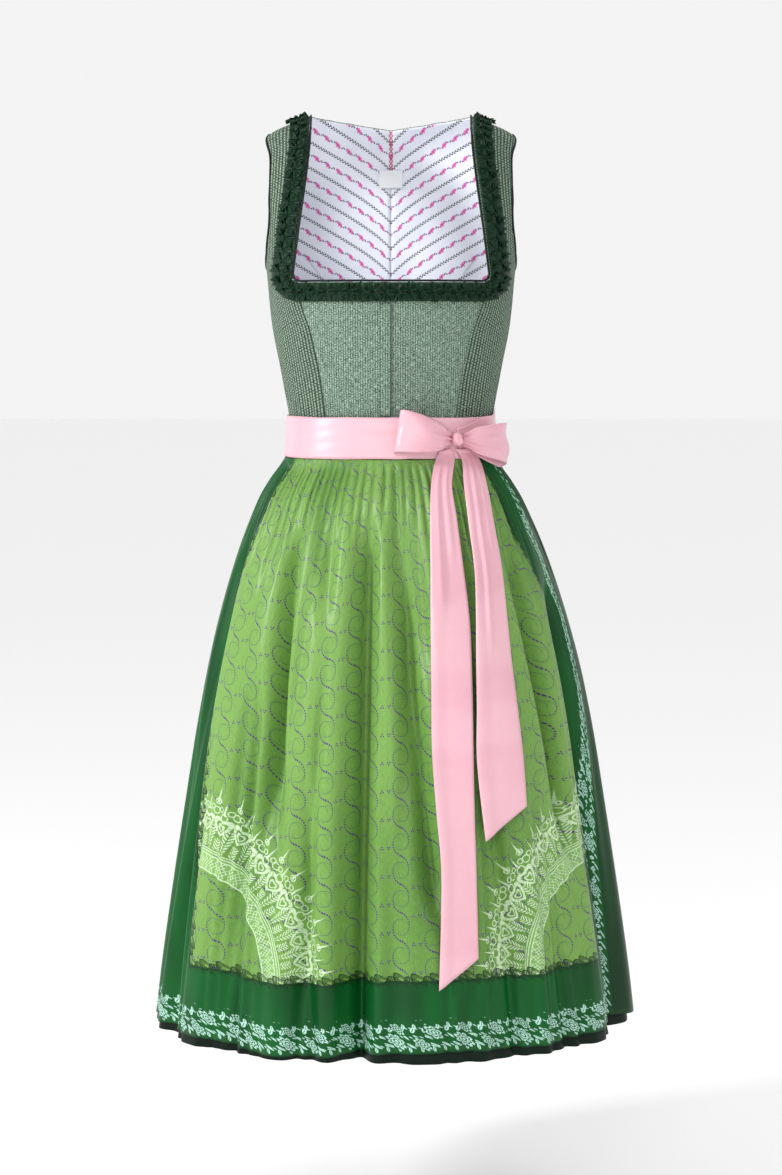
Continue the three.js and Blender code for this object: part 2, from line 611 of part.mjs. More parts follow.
function addWaistRibbons() {
  const BAND_START = -102;
  const BAND_END = 96;
  const TIE_END_A = KNOT_ANGLE + 3;
  const TIE_END_B = KNOT_ANGLE - 3;
  const BAND_GAP = 0.3; // degrees between the waistband's end and the tie sewn to it
  const STEP_OUT = 97.5; // where the tie has stepped out over the waistband
  const pinchAt = (angle) => smooth(30, 0, Math.abs(angle - KNOT_ANGLE));

  addRibbonRun('apron_waistband', steps(BAND_START, BAND_END, BAND_STEP).map((angle) => ({ angle, level: 0 })));

  const behind = steps(BAND_START - 6, STEP_OUT + 4.5 - 360, BAND_STEP);
  const tieA = [
    { angle: BAND_START - BAND_GAP, level: 0 },
    ...behind.map((angle) => ({ angle, level: 0 })),
    { angle: STEP_OUT, level: 1 },
    ...steps(BAND_END, TIE_END_A, BAND_STEP).map((angle) => ({
      angle, level: 1, pinchTop: 13 * pinchAt(angle), pinchBottom: 13 * pinchAt(angle),
    })),
  ];
  addRibbonRun('tie_a', tieA);

  const tieB = [
    { angle: STEP_OUT + 6.5, level: 1 },
    ...steps(108, 360 + TIE_END_B, BAND_STEP).map((angle) => ({
      angle, level: 1, pinchTop: 13 * pinchAt(angle - 360), pinchBottom: 13 * pinchAt(angle - 360),
    })),
  ];
  addRibbonRun('tie_b', tieB);
}

// A ribbon through rows of points, half its thickness to each side.
function addRibbon(name, rows) {
  const facing = (row, i) => {
    const next = rows[Math.min(i + 1, rows.length - 1)];
    const last = rows[Math.max(i - 1, 0)];
    const along = next[0].clone().add(next[next.length - 1]).sub(last[0]).sub(last[last.length - 1]);
    const across = row[row.length - 1].clone().sub(row[0]);
    return along.cross(across).normalize();
  };
  const layer = (out) => rows.map((row, i) => row.map((p) => p.clone().addScaledVector(facing(row, i), out)));
  addWall(name, PINK_SATIN, layer(RIBBON_WALL / 2), layer(-RIBBON_WALL / 2));
}

function addLoop(name, { end, rise: lift }) {
  const start = KNOT_ANGLE + Math.sign(end - KNOT_ANGLE) * KNOT_HALF_ANGLE;
  addRibbon(name, BOW_LOOP.map(({ reach, out, tall }) => {
    const angle = mix(start, end, reach);
    const middle = KNOT_Z + lift * reach;
    return [tall / 2, 0, -tall / 2].map((rise) => onSurface(BAND, angle, middle, out).setZ(middle + rise));
  }));
}

function addTail(name, rows, clearance) {
  addRibbon(name, rows.map(({ zLeft, zRight, left, right }) => fractions(2).map((f) => {
    const x = mix(left, right, f);
    const z = mix(zLeft, zRight, f);
    const angle = angleAt(SKIRT, x, z, false);
    const away = clearance * smooth(-380, -470, z) + RIBBON_LAYER * 2 * smooth(-470, -400, z);
    const under = z > APRON_TOP_Z + 8 ? BAND : SKIRT;
    const out = under === BAND ? RIBBON_LAYER * 2 + 1 : away + APRON_GAP + APRON_WALL;
    const point = ring(under, angleAt(under, x, z, false), z);
    return point.addScaledVector(outward(under, angle, z, true), out);
  })));
}

function addKnot() {
  const HALF_WIDTH = 7;
  const HALF_HEIGHT = 9;
  const DEPTH = 14;
  const SIDES = 10;
  const middle = onSurface(BAND, KNOT_ANGLE, KNOT_Z, RIBBON_LAYER * 2 + 0.3 + DEPTH / 2);
  const out = outward(BAND, KNOT_ANGLE, KNOT_Z, true);
  const along = new THREE.Vector3(0, 0, 1).cross(out);
  const rings = fractions(6).map((f) => {
    const rise = mix(-1, 1, f);
    const swell = Math.max(1 - Math.abs(rise) ** 3, 0.3) ** 0.5;
    return fractions(SIDES).slice(0, SIDES).map((g) => middle.clone()
      .addScaledVector(along, HALF_WIDTH * swell * ovalTerm(Math.cos(2 * Math.PI * g)))
      .addScaledVector(out, (DEPTH / 2) * swell * ovalTerm(Math.sin(2 * Math.PI * g)))
      .setZ(middle.z + rise * HALF_HEIGHT));
  });
  addRings('bow_knot', PINK_SATIN, rings, false);
}

// ---------------------------------------------------------------- the dress
addFrontPanels();
addBackPanels();
addLining();
addNeckTrim();
addArmholePiping();
addSkirtHalf('skirt_front', -90, 90, -1);
addSkirtHalf('skirt_back', 90, 270, 1);
addApron();
addWaistRibbons();
addLoop('bow_loop_left', LEFT_LOOP);
addLoop('bow_loop_right', RIGHT_LOOP);
addTail('bow_tail_long', LONG_TAIL, TAIL_CLEARANCE);
addTail('bow_tail_short', SHORT_TAIL, TAIL_CLEARANCE + TAIL_STACK);
addKnot();

export default dress;
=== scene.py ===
# The looks of the dirndl dress: cloth shells, trim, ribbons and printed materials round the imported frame.
# Metres, +Z up; the front faces -Y and the wearer's left is +X. Angles are degrees round the body:
# 0 centre front, 90 the wearer's left side, 180 centre back.
import math
import random

import bpy
import numpy as np
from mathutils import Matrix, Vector


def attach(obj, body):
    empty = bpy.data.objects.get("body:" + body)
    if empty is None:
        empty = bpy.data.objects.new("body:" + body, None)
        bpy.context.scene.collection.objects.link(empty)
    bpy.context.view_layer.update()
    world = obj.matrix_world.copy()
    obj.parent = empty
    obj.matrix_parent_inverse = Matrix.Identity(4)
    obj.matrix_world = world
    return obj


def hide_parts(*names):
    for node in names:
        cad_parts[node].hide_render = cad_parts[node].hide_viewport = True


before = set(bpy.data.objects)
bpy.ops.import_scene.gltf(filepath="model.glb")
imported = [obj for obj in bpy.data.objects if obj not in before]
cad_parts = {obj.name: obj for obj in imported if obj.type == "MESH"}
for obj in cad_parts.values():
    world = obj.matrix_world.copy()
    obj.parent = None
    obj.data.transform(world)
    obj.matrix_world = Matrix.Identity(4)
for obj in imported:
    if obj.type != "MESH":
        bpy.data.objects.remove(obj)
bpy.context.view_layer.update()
MM = 0.001
random.seed(11)

# ---------------------------------------------------------------- camera, light and floor
MIDDLE_Z = -583 * MM
CAMERA_DISTANCE = 3.4
CAMERA_RISE = math.radians(5.5)
CAMERA_LENS = 83.3
FLOOR_Z = -1.40  # the soles of a wearer whose shoulders are 1.4 m up
AROUND, BEHIND, OVERHEAD = 0.32, 0.58, 0.70  # brightness of the parts of the studio


def add_camera():
    data = bpy.data.cameras.new("camera")
    data.lens = CAMERA_LENS
    data.sensor_width = 36
    camera = bpy.data.objects.new("camera", data)
    back = CAMERA_DISTANCE * math.cos(CAMERA_RISE)
    camera.location = (0, -back, MIDDLE_Z + CAMERA_DISTANCE * math.sin(CAMERA_RISE))
    camera.rotation_euler = (math.pi / 2 - CAMERA_RISE, 0, 0)
    bpy.context.scene.collection.objects.link(camera)
    bpy.context.scene.camera = camera


def add_light(name, place, size, power, target=(0, 0, -0.5)):
    data = bpy.data.lights.new(name, "AREA")
    data.size = size
    data.energy = power
    light = bpy.data.objects.new(name, data)
    light.location = place
    light.rotation_euler = (Vector(target) - Vector(place)).to_track_quat("-Z", "Y").to_euler()
    bpy.context.scene.collection.objects.link(light)


def add_world():
    """A studio round the dress: dim in front, pale behind and bright overhead."""
    world = bpy.data.worlds.new("studio")
    world.use_nodes = True
    tree = world.node_tree
    split = tree.nodes.new("ShaderNodeSeparateXYZ")
    place = tree.nodes.new("ShaderNodeTexCoord")
    tree.links.new(place.outputs["Generated"], split.inputs[0])
    behind = Sum(tree, split.outputs[1]).above(0.15, 0.35)
    overhead = Sum(tree, split.outputs[2]).above(0.70, 0.2)
    strength = behind * BEHIND + overhead * OVERHEAD + AROUND
    tree.links.new(strength.socket, tree.nodes["Background"].inputs[1])
    tree.nodes["Background"].inputs[0].default_value = (1, 1, 1, 1)
    bpy.context.scene.world = world


def add_studio():
    add_light("key", (-2.9, -1.7, 0.9), 0.6, 84)
    add_light("front", (-0.3, -3.2, 0.6), 0.9, 22)
    add_light("fill", (2.6, -1.8, 0.1), 1.2, 12)
    add_world()
    bpy.context.scene.view_settings.view_transform = "Standard"
    bpy.ops.mesh.primitive_plane_add(size=60, location=(0, 0, FLOOR_Z))
    floor = bpy.context.object
    floor.name = "floor"
    floor.data.materials.append(plain_material("floor", (0.95, 0.95, 0.95), 0.9))


# ---------------------------------------------------------------- node arithmetic
class Sum:
    """A shader value that ordinary arithmetic turns into Math nodes."""

    def __init__(self, tree, socket):
        self.tree = tree
        self.socket = socket

    def node(self, kind, *inputs):
        made = self.tree.nodes.new("ShaderNodeMath")
        made.operation = kind
        for i, value in enumerate(inputs):
            feed(value, made.inputs[i])
        return Sum(self.tree, made.outputs[0])

    def __add__(self, other):
        return self.node("ADD", self, other)

    def __sub__(self, other):
        return self.node("SUBTRACT", self, other)

    def __rsub__(self, other):
        return self.node("SUBTRACT", other, self)

    def __mul__(self, other):
        return self.node("MULTIPLY", self, other)

    def __truediv__(self, other):
        return self.node("DIVIDE", self, other)

    def low(self, other):
        return self.node("MINIMUM", self, other)

    def high(self, other):
        return self.node("MAXIMUM", self, other)

    def size(self):
        return self.node("ABSOLUTE", self)

    def sine(self):
        return self.node("SINE", self)

    def cosine(self):
        return self.node("COSINE", self)

    def bearing(self, x):
        """The angle of the place (x, this value) round the origin."""
        return self.node("ARCTAN2", self, x)

    def cell(self, pitch):
        """Distance from the middle of the repeat that holds this value."""
        share = self / pitch + 0.5
        return share.node("FRACT", share) * pitch - pitch / 2

    def below(self, edge, soft):
        """1 where the value is under the edge, 0 over it, soft between."""
        made = self.tree.nodes.new("ShaderNodeMapRange")
        made.interpolation_type = "SMOOTHSTEP"
        feed(self, made.inputs["Value"])
        feed(edge + -soft, made.inputs["From Min"])
        feed(edge + soft, made.inputs["From Max"])
        feed(1, made.inputs["To Min"])
        feed(0, made.inputs["To Max"])
        return Sum(self.tree, made.outputs[0])

    def above(self, edge, soft):
        return 1 - self.below(edge, soft)

    def within(self, low, high, soft):
        return self.above(low, soft) * self.below(high, soft)

    def line(self, half_width, soft):
        """1 where the value is near 0."""
        return self.size().below(half_width, soft)


def feed(value, socket):
    """Links a worked-out value to a socket, or sets a plain number on it."""
    if isinstance(value, Sum):
        value.tree.links.new(value.socket, socket)
    else:
        socket.default_value = float(value)


def far(x, y):
    square = x * x + y * y
    return square.node("SQRT", square)


def highest(layers):
    """The most of several amounts, place by place."""
    top = layers[0]
    for layer in layers[1:]:
        top = top.high(layer)
    return top


def linear(colour):
    """A shader's colour from red, green and blue of 0 to 255."""
    shares = [c / 255 for c in colour]
    return tuple(((c + 0.055) / 1.055) ** 2.4 if c > 0.04 else c / 12.92 for c in shares) + (1,)


class Cloth:
    """A material under construction: its shader, its place on the cloth and its layers of colour."""

    def __init__(self, name, roughness):
        self.material = bpy.data.materials.new(name)
        self.material.use_nodes = True
        self.tree = self.material.node_tree
        self.shader = self.tree.nodes["Principled BSDF"]
        self.shader.inputs["Roughness"].default_value = roughness
        place = self.tree.nodes.new("ShaderNodeUVMap")
        split = self.tree.nodes.new("ShaderNodeSeparateXYZ")
        self.tree.links.new(place.outputs[0], split.inputs[0])
        self.u = Sum(self.tree, split.outputs[0])
        self.v = Sum(self.tree, split.outputs[1])

    def noise(self, scale_u, scale_v, detail, seed):
        join = self.tree.nodes.new("ShaderNodeCombineXYZ")
        feed(self.u * scale_u + seed * 7.3, join.inputs[0])
        feed(self.v * scale_v + seed * 3.1, join.inputs[1])
        made = self.tree.nodes.new("ShaderNodeTexNoise")
        made.inputs["Scale"].default_value = 1.0
        made.inputs["Detail"].default_value = detail
        self.tree.links.new(join.outputs[0], made.inputs["Vector"])
        return Sum(self.tree, made.outputs[0])

    def ground(self, colour):
        made = self.tree.nodes.new("ShaderNodeRGB")
        made.outputs[0].default_value = linear(colour)
        self.colour = made.outputs[0]

    def paint(self, amount, colour):
        made = self.tree.nodes.new("ShaderNodeMix")
        made.data_type = "RGBA"
        self.tree.links.new(amount.socket, made.inputs[0])
        self.tree.links.new(self.colour, made.inputs[6])
        made.inputs[7].default_value = linear(colour)
        self.colour = made.outputs[2]

    def bump(self, height, strength, distance):
        made = self.tree.nodes.new("ShaderNodeBump")
        made.inputs["Strength"].default_value = strength
        made.inputs["Distance"].default_value = distance
        self.tree.links.new(height.socket, made.inputs["Height"])
        self.tree.links.new(made.outputs[0], self.shader.inputs["Normal"])

    def sheen(self, weight, roughness, tint=(255, 255, 255)):
        self.shader.inputs["Sheen Weight"].default_value = weight
        self.shader.inputs["Sheen Roughness"].default_value = roughness
        self.shader.inputs["Sheen Tint"].default_value = linear(tint)

    def done(self):
        self.tree.links.new(self.colour, self.shader.inputs["Base Color"])
        return self.material


def plain_material(name, colour, roughness):
    material = bpy.data.materials.new(name)
    material.use_nodes = True
    shader = material.node_tree.nodes["Principled BSDF"]
    shader.inputs["Base Color"].default_value = (*colour, 1)
    shader.inputs["Roughness"].default_value = roughness
    return material


# ---------------------------------------------------------------- cloth materials
def tweed(name, dark, middle, light, rib):
    """Linen-look tweed: slubs along both threads; `rib` adds dotted lines along the length."""
    thread_pitch, dot_pitch = 0.0011, 0.0034
    line_pitch, dots_share, gaps_share = (0.0046, 0.8, 0.6) if rib else (0.0030, 0.4, 0.35)
    cloth = Cloth(name, 0.9)
    cloth.ground(middle)
    across = cloth.noise(160, 1300, 3, 1)
    along = cloth.noise(1300, 160, 3, 2)
    flecks = cloth.noise(1100, 1100, 1, 3)
    cloth.paint(cloth.noise(20, 32, 3, 4).below(0.46, 0.09) * 0.4, dark)
    cloth.paint(across.above(0.53, 0.05) * 0.85, light)
    cloth.paint(along.above(0.52, 0.05) * 0.85, dark)
    cloth.paint(flecks.above(0.62, 0.04) * 0.7, light)
    cloth.paint(flecks.below(0.40, 0.04) * 0.7, dark)
    thread = (cloth.u * (math.tau / thread_pitch)).sine() * (cloth.v * (math.tau / thread_pitch)).sine()
    lines = (cloth.u * (math.tau / line_pitch)).sine().above(0.1, 0.5)
    row = cloth.u / line_pitch
    step = cloth.v * (math.tau / dot_pitch) + row.node("FLOOR", row) * math.pi
    dots = lines * step.sine().above(0.0, 0.5)
    cloth.paint(dots * dots_share, light)
    cloth.paint((1 - lines) * gaps_share, dark)
    cloth.bump(thread * 0.3 + across + along + dots, 0.6, 0.0006)
    cloth.sheen(0.03, 0.5)
    return cloth.done()


def satin(name, base, shade, shine, roughness, gloss=0.5, sheen=0.08):
    """Smooth cloth with a fine thread: `shade` lies in soft patches, `shine` in short streaks."""
    cloth = Cloth(name, roughness)
    cloth.ground(base)
    cloth.paint(cloth.noise(12, 5, 3, 5).below(0.45, 0.12) * 0.35, shade)
    cloth.paint(cloth.noise(2400, 260, 2, 6).above(0.58, 0.08) * 0.12, shine)
    thread = (cloth.v * (math.tau / 0.0006)).sine() * 0.5 + cloth.noise(160, 900, 2, 7)
    cloth.bump(thread + cloth.noise(55, 22, 2, 14) * 3, 0.16, 0.0003)
    cloth.shader.inputs["Specular IOR Level"].default_value = gloss
    cloth.sheen(sheen, 0.35, shine)
    return cloth.done()


def lining_material():
    """White cotton with slanting stripes that meet at the centre back: flower garlands and leaf vines."""
    pitch, unit = 0.0165, 0.0172  # from stripe to stripe, and from flower to flower
    purple, pink, rose, green = (96, 66, 132), (226, 120, 188), (188, 62, 140), (40, 66, 66)
    cloth = Cloth("lining_print", 0.8)
    cloth.ground((240, 243, 252))
    cloth.paint(cloth.noise(14, 10, 3, 13).below(0.46, 0.08) * 0.3, (208, 214, 232))
    side = cloth.u.size()
    bend = side * -40
    slant = cloth.v - side * 0.5 - bend.node("EXPONENT", bend) * -0.012
    along = side * 1.14 + slant * 0.5
    flower_row = slant.cell(pitch * 2) * 0.88
    vine_row = (slant + pitch).cell(pitch * 2) * 0.88
    sway = flower_row - (along * (math.tau / unit)).sine() * 0.0010
    cloth.paint(far(along.cell(0.0032), sway).below(0.00105, 0.0002), purple)
    cloth.paint(far((along + 0.0016).cell(0.0064), sway - 0.0013).below(0.0008, 0.0002), green)
    for shift, rise, size in ((0, 0, 0.0027), (0.0031, 0.0013, 0.0016), (-0.0030, -0.0012, 0.0016)):
        x, y = (along + shift).cell(unit), flower_row + rise
        reach = far(x, y)
        petals = (y.bearing(x) * 5).cosine() * (size * 0.28) + size
        cloth.paint(reach.below(petals, 0.0003), pink)
        cloth.paint(reach.below(size * 0.4, 0.0002), rose)
    for sign in (1, -1):
        place = (along + 0.00105 * sign).cell(0.0042)
        lean = vine_row - (place * 0.45 + 0.0010) * sign
        cloth.paint(far(place * 0.5, lean).below(0.00078, 0.00018), (30, 42, 46))
    cloth.paint(vine_row.line(0.00018, 0.00012) * 0.7, (60, 80, 70))
    stitch = (side - cloth.v.cell(0.0052).size()).line(0.0008, 0.0003)
    middle = side.below(0.0030, 0.0002) * cloth.v.above(-0.0600, 0.0005)
    cloth.paint(stitch * middle, (222, 48, 108))
    cloth.bump(cloth.noise(700, 700, 2, 8) + cloth.noise(40, 25, 3, 15) * 6, 0.2, 0.0004)
    return cloth.done()


BORDER = 0.086  # width of the apron's printed border
SCROLL_ACROSS, SCROLL_UP = 0.042, 0.0335  # from scroll to scroll
SCROLL_THIN = (66, 112, 80)


def scroll_height(cloth):
    """Height on the apron, drifting from each chain of scrolls to the next."""
    lane = cloth.u / SCROLL_ACROSS
    return cloth.v + lane.node("ROUND", lane) * 0.0127


def paint_scrolls(cloth):
    """Chains of S scrolls: each half is a spiral of dots that shrink and end in a thin curl."""
    opening = 0.00118  # how much wider a spiral gets for each radian
    drift = scroll_height(cloth)
    x = cloth.u.cell(SCROLL_ACROSS)
    dots, lines = [], []
    for sign in (1, -1):
        across = x * sign + 0.0018
        up = (drift * sign + 0.0150).cell(SCROLL_UP)
        turn = across.bearing(up)
        turn = turn + turn.below(0.0, 0.0001) * math.tau
        spiral = far(across, up) + turn * opening - 0.0150
        size = (0.00120 - turn * 0.00027).high(0.00042)
        dot = far(spiral, turn.cell(0.24) * 0.0115).below(size, 0.00015)
        dots.append(dot * turn.below(3.5, 0.1))
        lines.append(spiral.line(0.00028, 0.00014) * turn.above(2.6, 0.2))
        lines.append((spiral + math.tau * opening).line(0.00028, 0.00014) * turn.below(1.5, 0.1))
    cloth.paint(highest(lines) * 0.75, SCROLL_THIN)
    cloth.paint(highest(dots), (78, 58, 112))


def paint_sprigs(cloth):
    """Three berries on a curved stem, twice in each space between the scrolls."""
    for shift_x, shift_y, flip in ((-0.0042, 0.004, 1), (0.0044, -0.0105, -1)):
        x = (cloth.u + SCROLL_ACROSS / 2).cell(SCROLL_ACROSS) - shift_x
        y = (scroll_height(cloth) + shift_y).cell(SCROLL_UP) * flip
        for berry_x, berry_y in ((-0.0015, 0.0), (0.0015, 0.0), (0.0, 0.0025)):
            cloth.paint(far(x - berry_x, y - berry_y).below(0.0010, 0.0002), (84, 68, 116))
        stem = (x - (y * 260).sine() * 0.0024).line(0.00026, 0.00014) * (y + 0.0085).line(0.0068, 0.0004)
        cloth.paint(stem * 0.6, SCROLL_THIN)


def paint_fans(cloth, field):
    """Quarter-round fans in the two lower corners: a lattice, a row of hearts and sprays, and a crown."""
    pitch, mesh = 0.0236, 0.0056  # from heart to heart, and across the lattice's openings
    x = cloth.u.low(field - cloth.u)
    y = cloth.v - BORDER
    reach = far(x, y)
    arc = y.bearing(x) * 0.165
    inside = x.above(0.0, 0.0005) * y.above(0.0, 0.0005)
    cloth.paint(reach.within(0.120, 0.146, 0.001) * inside * 0.35, (150, 196, 120))

    lattice = highest([way.cell(mesh).line(0.0006, 0.0002) for way in (arc + reach, arc - reach)])
    lattice = lattice * (arc.cell(mesh * 2) * (reach - 0.131)).above(-0.000012, 0.000004)
    rings = [(reach - radius).line(0.0006, 0.0002) for radius in (0.1405, 0.1440, 0.1470)]
    rings.append((reach - 0.1205).line(0.0008, 0.0003))

    heart, spray = arc.cell(pitch), (arc + pitch / 2).cell(pitch)
    shape = far(heart * 0.85, reach - 0.1770 - heart.size() * 0.75)
    hearts = [(shape - 0.0082).line(0.0017, 0.0003), (shape - 0.0036).line(0.0009, 0.0003)]
    fern = (reach - spray.size() * 0.9).cell(0.0040).line(0.0011, 0.0003)
    leaf_edge = (reach - 0.149) * 0.18 + 0.0020
    fern = fern * (spray.size() - leaf_edge).below(0.0, 0.0003) * spray.size().above(0.0006, 0.0002)
    low_fern = (reach - heart.size() * 0.9).cell(0.0036).line(0.0009, 0.0003) * heart.line(0.0046, 0.0004)
    ferns = [fern * reach.within(0.149, 0.178, 0.0006), low_fern * reach.within(0.149, 0.164, 0.0006)]

    crown = [
        (far((arc + shift).cell(pitch), reach - level) - size).line(0.0006, 0.0002)
        for shift, level, size in ((0, 0.1915, 0.0044), (0.0118, 0.1965, 0.0040), (0.0059, 0.1990, 0.0028),
                                   (0.0177, 0.1990, 0.0028), (0.0118, 0.2075, 0.0030))
    ]
    spikes = [
        middle.size().below((tip - reach) * slope, 0.0003) * reach.above(foot, 0.0006)
        for middle, foot, tip, slope in ((spray, 0.206, 0.2260, 0.07), (heart, 0.194, 0.2130, 0.08))
    ]
    fan = highest([lattice * reach.within(0.121, 0.140, 0.0005), *rings, *hearts, *ferns, *crown, *spikes])
    worn = cloth.noise(420, 420, 2, 16).above(0.42, 0.06) * 0.5 + 0.3
    cloth.paint(fan * inside * worn, (214, 236, 200))


def paint_comb(cloth, edge, along):
    """A comb-toothed vine along the border's inner edge."""
    scallop = 0.0235
    comb = []
    for shift, lean, high in ((0.0, 0.9, 0.0115), (0.0105, -0.7, 0.0080)):
        place = (along + shift).cell(scallop)
        rim = (place / scallop * math.pi).cosine() * high - 0.0020
        fringe = (place * 1.15 + edge * lean).cell(0.0024).line(0.00075, 0.0002)
        comb.append(edge.within(rim - 0.0058, rim, 0.0004) * fringe)
        comb.append((edge - rim + 0.0004).line(0.0007, 0.0003))
    wave = edge + 0.0012 - (along * (math.tau / scallop)).sine() * 0.0016
    comb.append(wave.line(0.0010, 0.0003))
    cloth.paint(highest(comb) * 0.95, (8, 48, 16))


def border_flowers(outer, along):
    """Where the border's flowers and leaves are: `outer` is the distance from the apron's outer edge."""
    flowers = taken = along * 0
    for shift, middle, size, count in (
        (0.0, 0.0150, 0.0098, 4), (0.0290, 0.0255, 0.0088, 3), (0.0560, 0.0120, 0.0082, 4),
        (0.0710, 0.0290, 0.0068, 3),
    ):
        x, y = (along + shift).cell(0.0860), outer - middle
        reach, turn = far(x, y), y.bearing(x)
        rim = (turn * count).cosine().size() * (size * 0.34) + size * 0.66
        shape = reach.below(rim, 0.0003) * (1 - (reach - rim * 0.66).line(0.0007, 0.0002))
        shape = shape * (1 - (reach - size * 0.24).line(0.0006, 0.0002))
        shape = shape * (1 - (turn * (count * 2)).sine().line(0.16, 0.05) * reach.above(size * 0.3, 0.0004))
        hold = reach.below(size * 1.08, 0.0003)
        flowers = flowers * (1 - hold) + shape
        taken = taken.high(hold)
    leaves = []
    for shift, middle, tilt in ((0.004, 0.0060, 0.9), (0.0105, 0.0205, -1.0), (0.0015, 0.0330, 0.8),
                                (0.0125, 0.0105, -0.7), (0.0075, 0.0290, 0.5)):
        x, y = (along + shift).cell(0.0143), outer - middle
        long_way, cross_way = x * 0.75 + y * tilt, y * 0.75 - x * tilt
        vein = cross_way.line(0.0003, 0.0002) * long_way.line(0.003, 0.0004)
        leaves.append(far(long_way * 0.42, cross_way).below(0.0018, 0.0003) * (1 - vein))
    lean = (outer - 0.020) * 0.9
    buds = far((along + 0.009 + lean).cell(0.0063), (outer - 0.0205).cell(0.0105))
    leaves.append(buds.below(0.0012, 0.0003))
    ragged = (along * (math.tau / 0.043)).sine() * 0.0035 + 0.0375
    flowers = flowers.high(highest(leaves) * (1 - taken))
    return flowers * outer.above(0.0022, 0.0004) * outer.below(ragged, 0.0006)


def apron_material(field):
    """The printed apron. `field` is the width of the light panel; u runs across it from its right-hand
    edge as worn, v up from the hem."""
    cloth = Cloth("apron_print", 0.42)
    u, v = cloth.u, cloth.v
    cloth.ground((116, 158, 76))
    # painted shade: broad soft darker bands running down the field, in place of the shade of its folds
    cloth.paint(cloth.noise(6, 1.6, 2, 9).below(0.47, 0.12) * 0.6, (68, 118, 40))
    # painted sheen: short pale streaks along the satin
    cloth.paint(cloth.noise(1800, 160, 2, 10).above(0.57, 0.08) * 0.22, (152, 190, 112))
    paint_scrolls(cloth)
    paint_sprigs(cloth)
    paint_fans(cloth, field)

    edge, along = (v - BORDER).low(u).low(field - u), u + v
    border = edge.below(0.0, 0.0003)
    cloth.paint(border, (0, 86, 30))
    # painted shade: soft darker patches over the border's satin
    cloth.paint(border * cloth.noise(14, 5, 2, 11).below(0.45, 0.12) * 0.5, (4, 44, 18))
    paint_comb(cloth, edge, along)
    outer = v.low(field + BORDER - u).low(u + 0.265)
    flowers = border_flowers(outer, along)
    cloth.paint(flowers * border * 0.92, (184, 226, 212))
    cloth.paint(border * outer.below(0.0014, 0.0003) * 0.6, (4, 30, 14))

    cloth.bump(cloth.noise(2000, 240, 2, 12) + flowers * 0.4, 0.12, 0.0003)
    feed(border * 0.04 + 0.38, cloth.shader.inputs["Roughness"])
    cloth.shader.inputs["Specular IOR Level"].default_value = 0.26
    cloth.sheen(0.02, 0.35, (230, 255, 220))
    return cloth.done()


# ---------------------------------------------------------------- the body's sections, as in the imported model
POWER = 2.2
WAIST_Z = -396
BAND_TOP = -368
BAND_BOTTOM = -418
TORSO = [  # height, half width, depth in front, depth behind (mm)
    (-396, 127.0, 90.5, 81.5), (-368, 126.8, 89.5, 80.5), (-320, 136, 101, 84), (-265, 146, 118, 90),
    (-225, 151, 124, 94), (-189, 154, 121, 97), (-140, 161, 108, 100), (-90, 162, 92, 97),
    (-45, 156, 66, 84), (-22, 149, 42, 62), (0, 100, 6, 30),
]
BAND = [
    (-440, 132.6, 96.4, 87.4), (-418, 131.3, 95.0, 86.0), (-368, 127.4, 92.4, 81.6),
    (-350, 126.2, 91.4, 80.6),
]
SKIRT = [
    (-1125, 299, 248, 270), (-1057, 291, 240, 262), (-954, 276, 226, 248), (-852, 260, 212, 232),
    (-750, 243, 195, 214), (-649, 221, 175, 190), (-548, 193, 150, 157), (-473, 164, 124, 122),
    (-448, 150, 111, 104), (-418, 129.4, 93.4, 84.4), (-396, 127.0, 90.8, 81.4),
]
FOLDS = [  # angle at its top and foot, heights it shows between, half width (degrees), depth (mm)
    (-96, -92, -470, -1200, 5, 9), (-74, -66, -480, -1200, 4, 12), (-49, -42, -430, -600, 3, 7),
    (-39, -28, -450, -900, 3.5, 14), (-44, -40, -640, -1200, 4, 9), (-24, -12, -440, -640, 3, 9),
    (-24, -18, -740, -1200, 4, 8), (-8, -7, -450, -1200, 3.5, 19), (0, 12, -440, -1000, 3, 11),
    (6, 12, -440, -720, 3, 8), (24, 28, -450, -1200, 4.5, 9), (47, 60, -470, -950, 4, 15),
    (44, 45, -760, -1200, 5, 9), (70, 72, -540, -1200, 5, 15), (99, 97, -470, -1200, 5, 11),
    (117, 115, -440, -1200, 5, 15), (132, 133, -450, -1200, 4, 10), (147, 149, -440, -1200, 5, 17),
    (164, 166, -460, -1200, 4, 11), (181, 184, -440, -1200, 5, 16), (198, 199, -450, -1200, 4, 10),
    (213, 216, -440, -1200, 5, 16), (230, 231, -460, -1200, 4, 10), (247, 246, -440, -1200, 5, 14),
]
SKIRT_HEM = -1125
FOLD_FADE = 110
CREASE_WIDTH = 7.5  # mm, half the width of the sharp crease beside a fold


def column(table, which, z):
    """A table's column at height z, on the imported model's own smooth curve."""
    rows = sorted(table)
    heights = np.array([row[0] for row in rows], float)
    values = np.array([row[which] for row in rows], float)
    last = len(rows) - 1
    before = np.maximum(np.arange(last + 1) - 1, 0)
    after = np.minimum(np.arange(last + 1) + 1, last)
    slopes = (values[after] - values[before]) / (heights[after] - heights[before])
    z = np.asarray(z, float)
    i = np.clip(np.searchsorted(heights, z) - 1, 0, last - 1)
    span = heights[i + 1] - heights[i]
    t = (z - heights[i]) / span
    inside = np.clip(t, 0, 1)
    rise = inside ** 2 * (3 - 2 * inside)
    start = inside * (1 - inside) ** 2 * span * slopes[i]
    end = inside ** 2 * (inside - 1) * span * slopes[i + 1]
    curve = values[i] * (1 - rise) + values[i + 1] * rise + start + end
    under = np.where(t < 0, (z - heights[0]) * slopes[0], 0)
    over = np.where(t > 1, (z - heights[last]) * slopes[last], 0)
    return curve + under + over


def term(value):
    return np.sign(value) * np.abs(value) ** (2 / POWER)


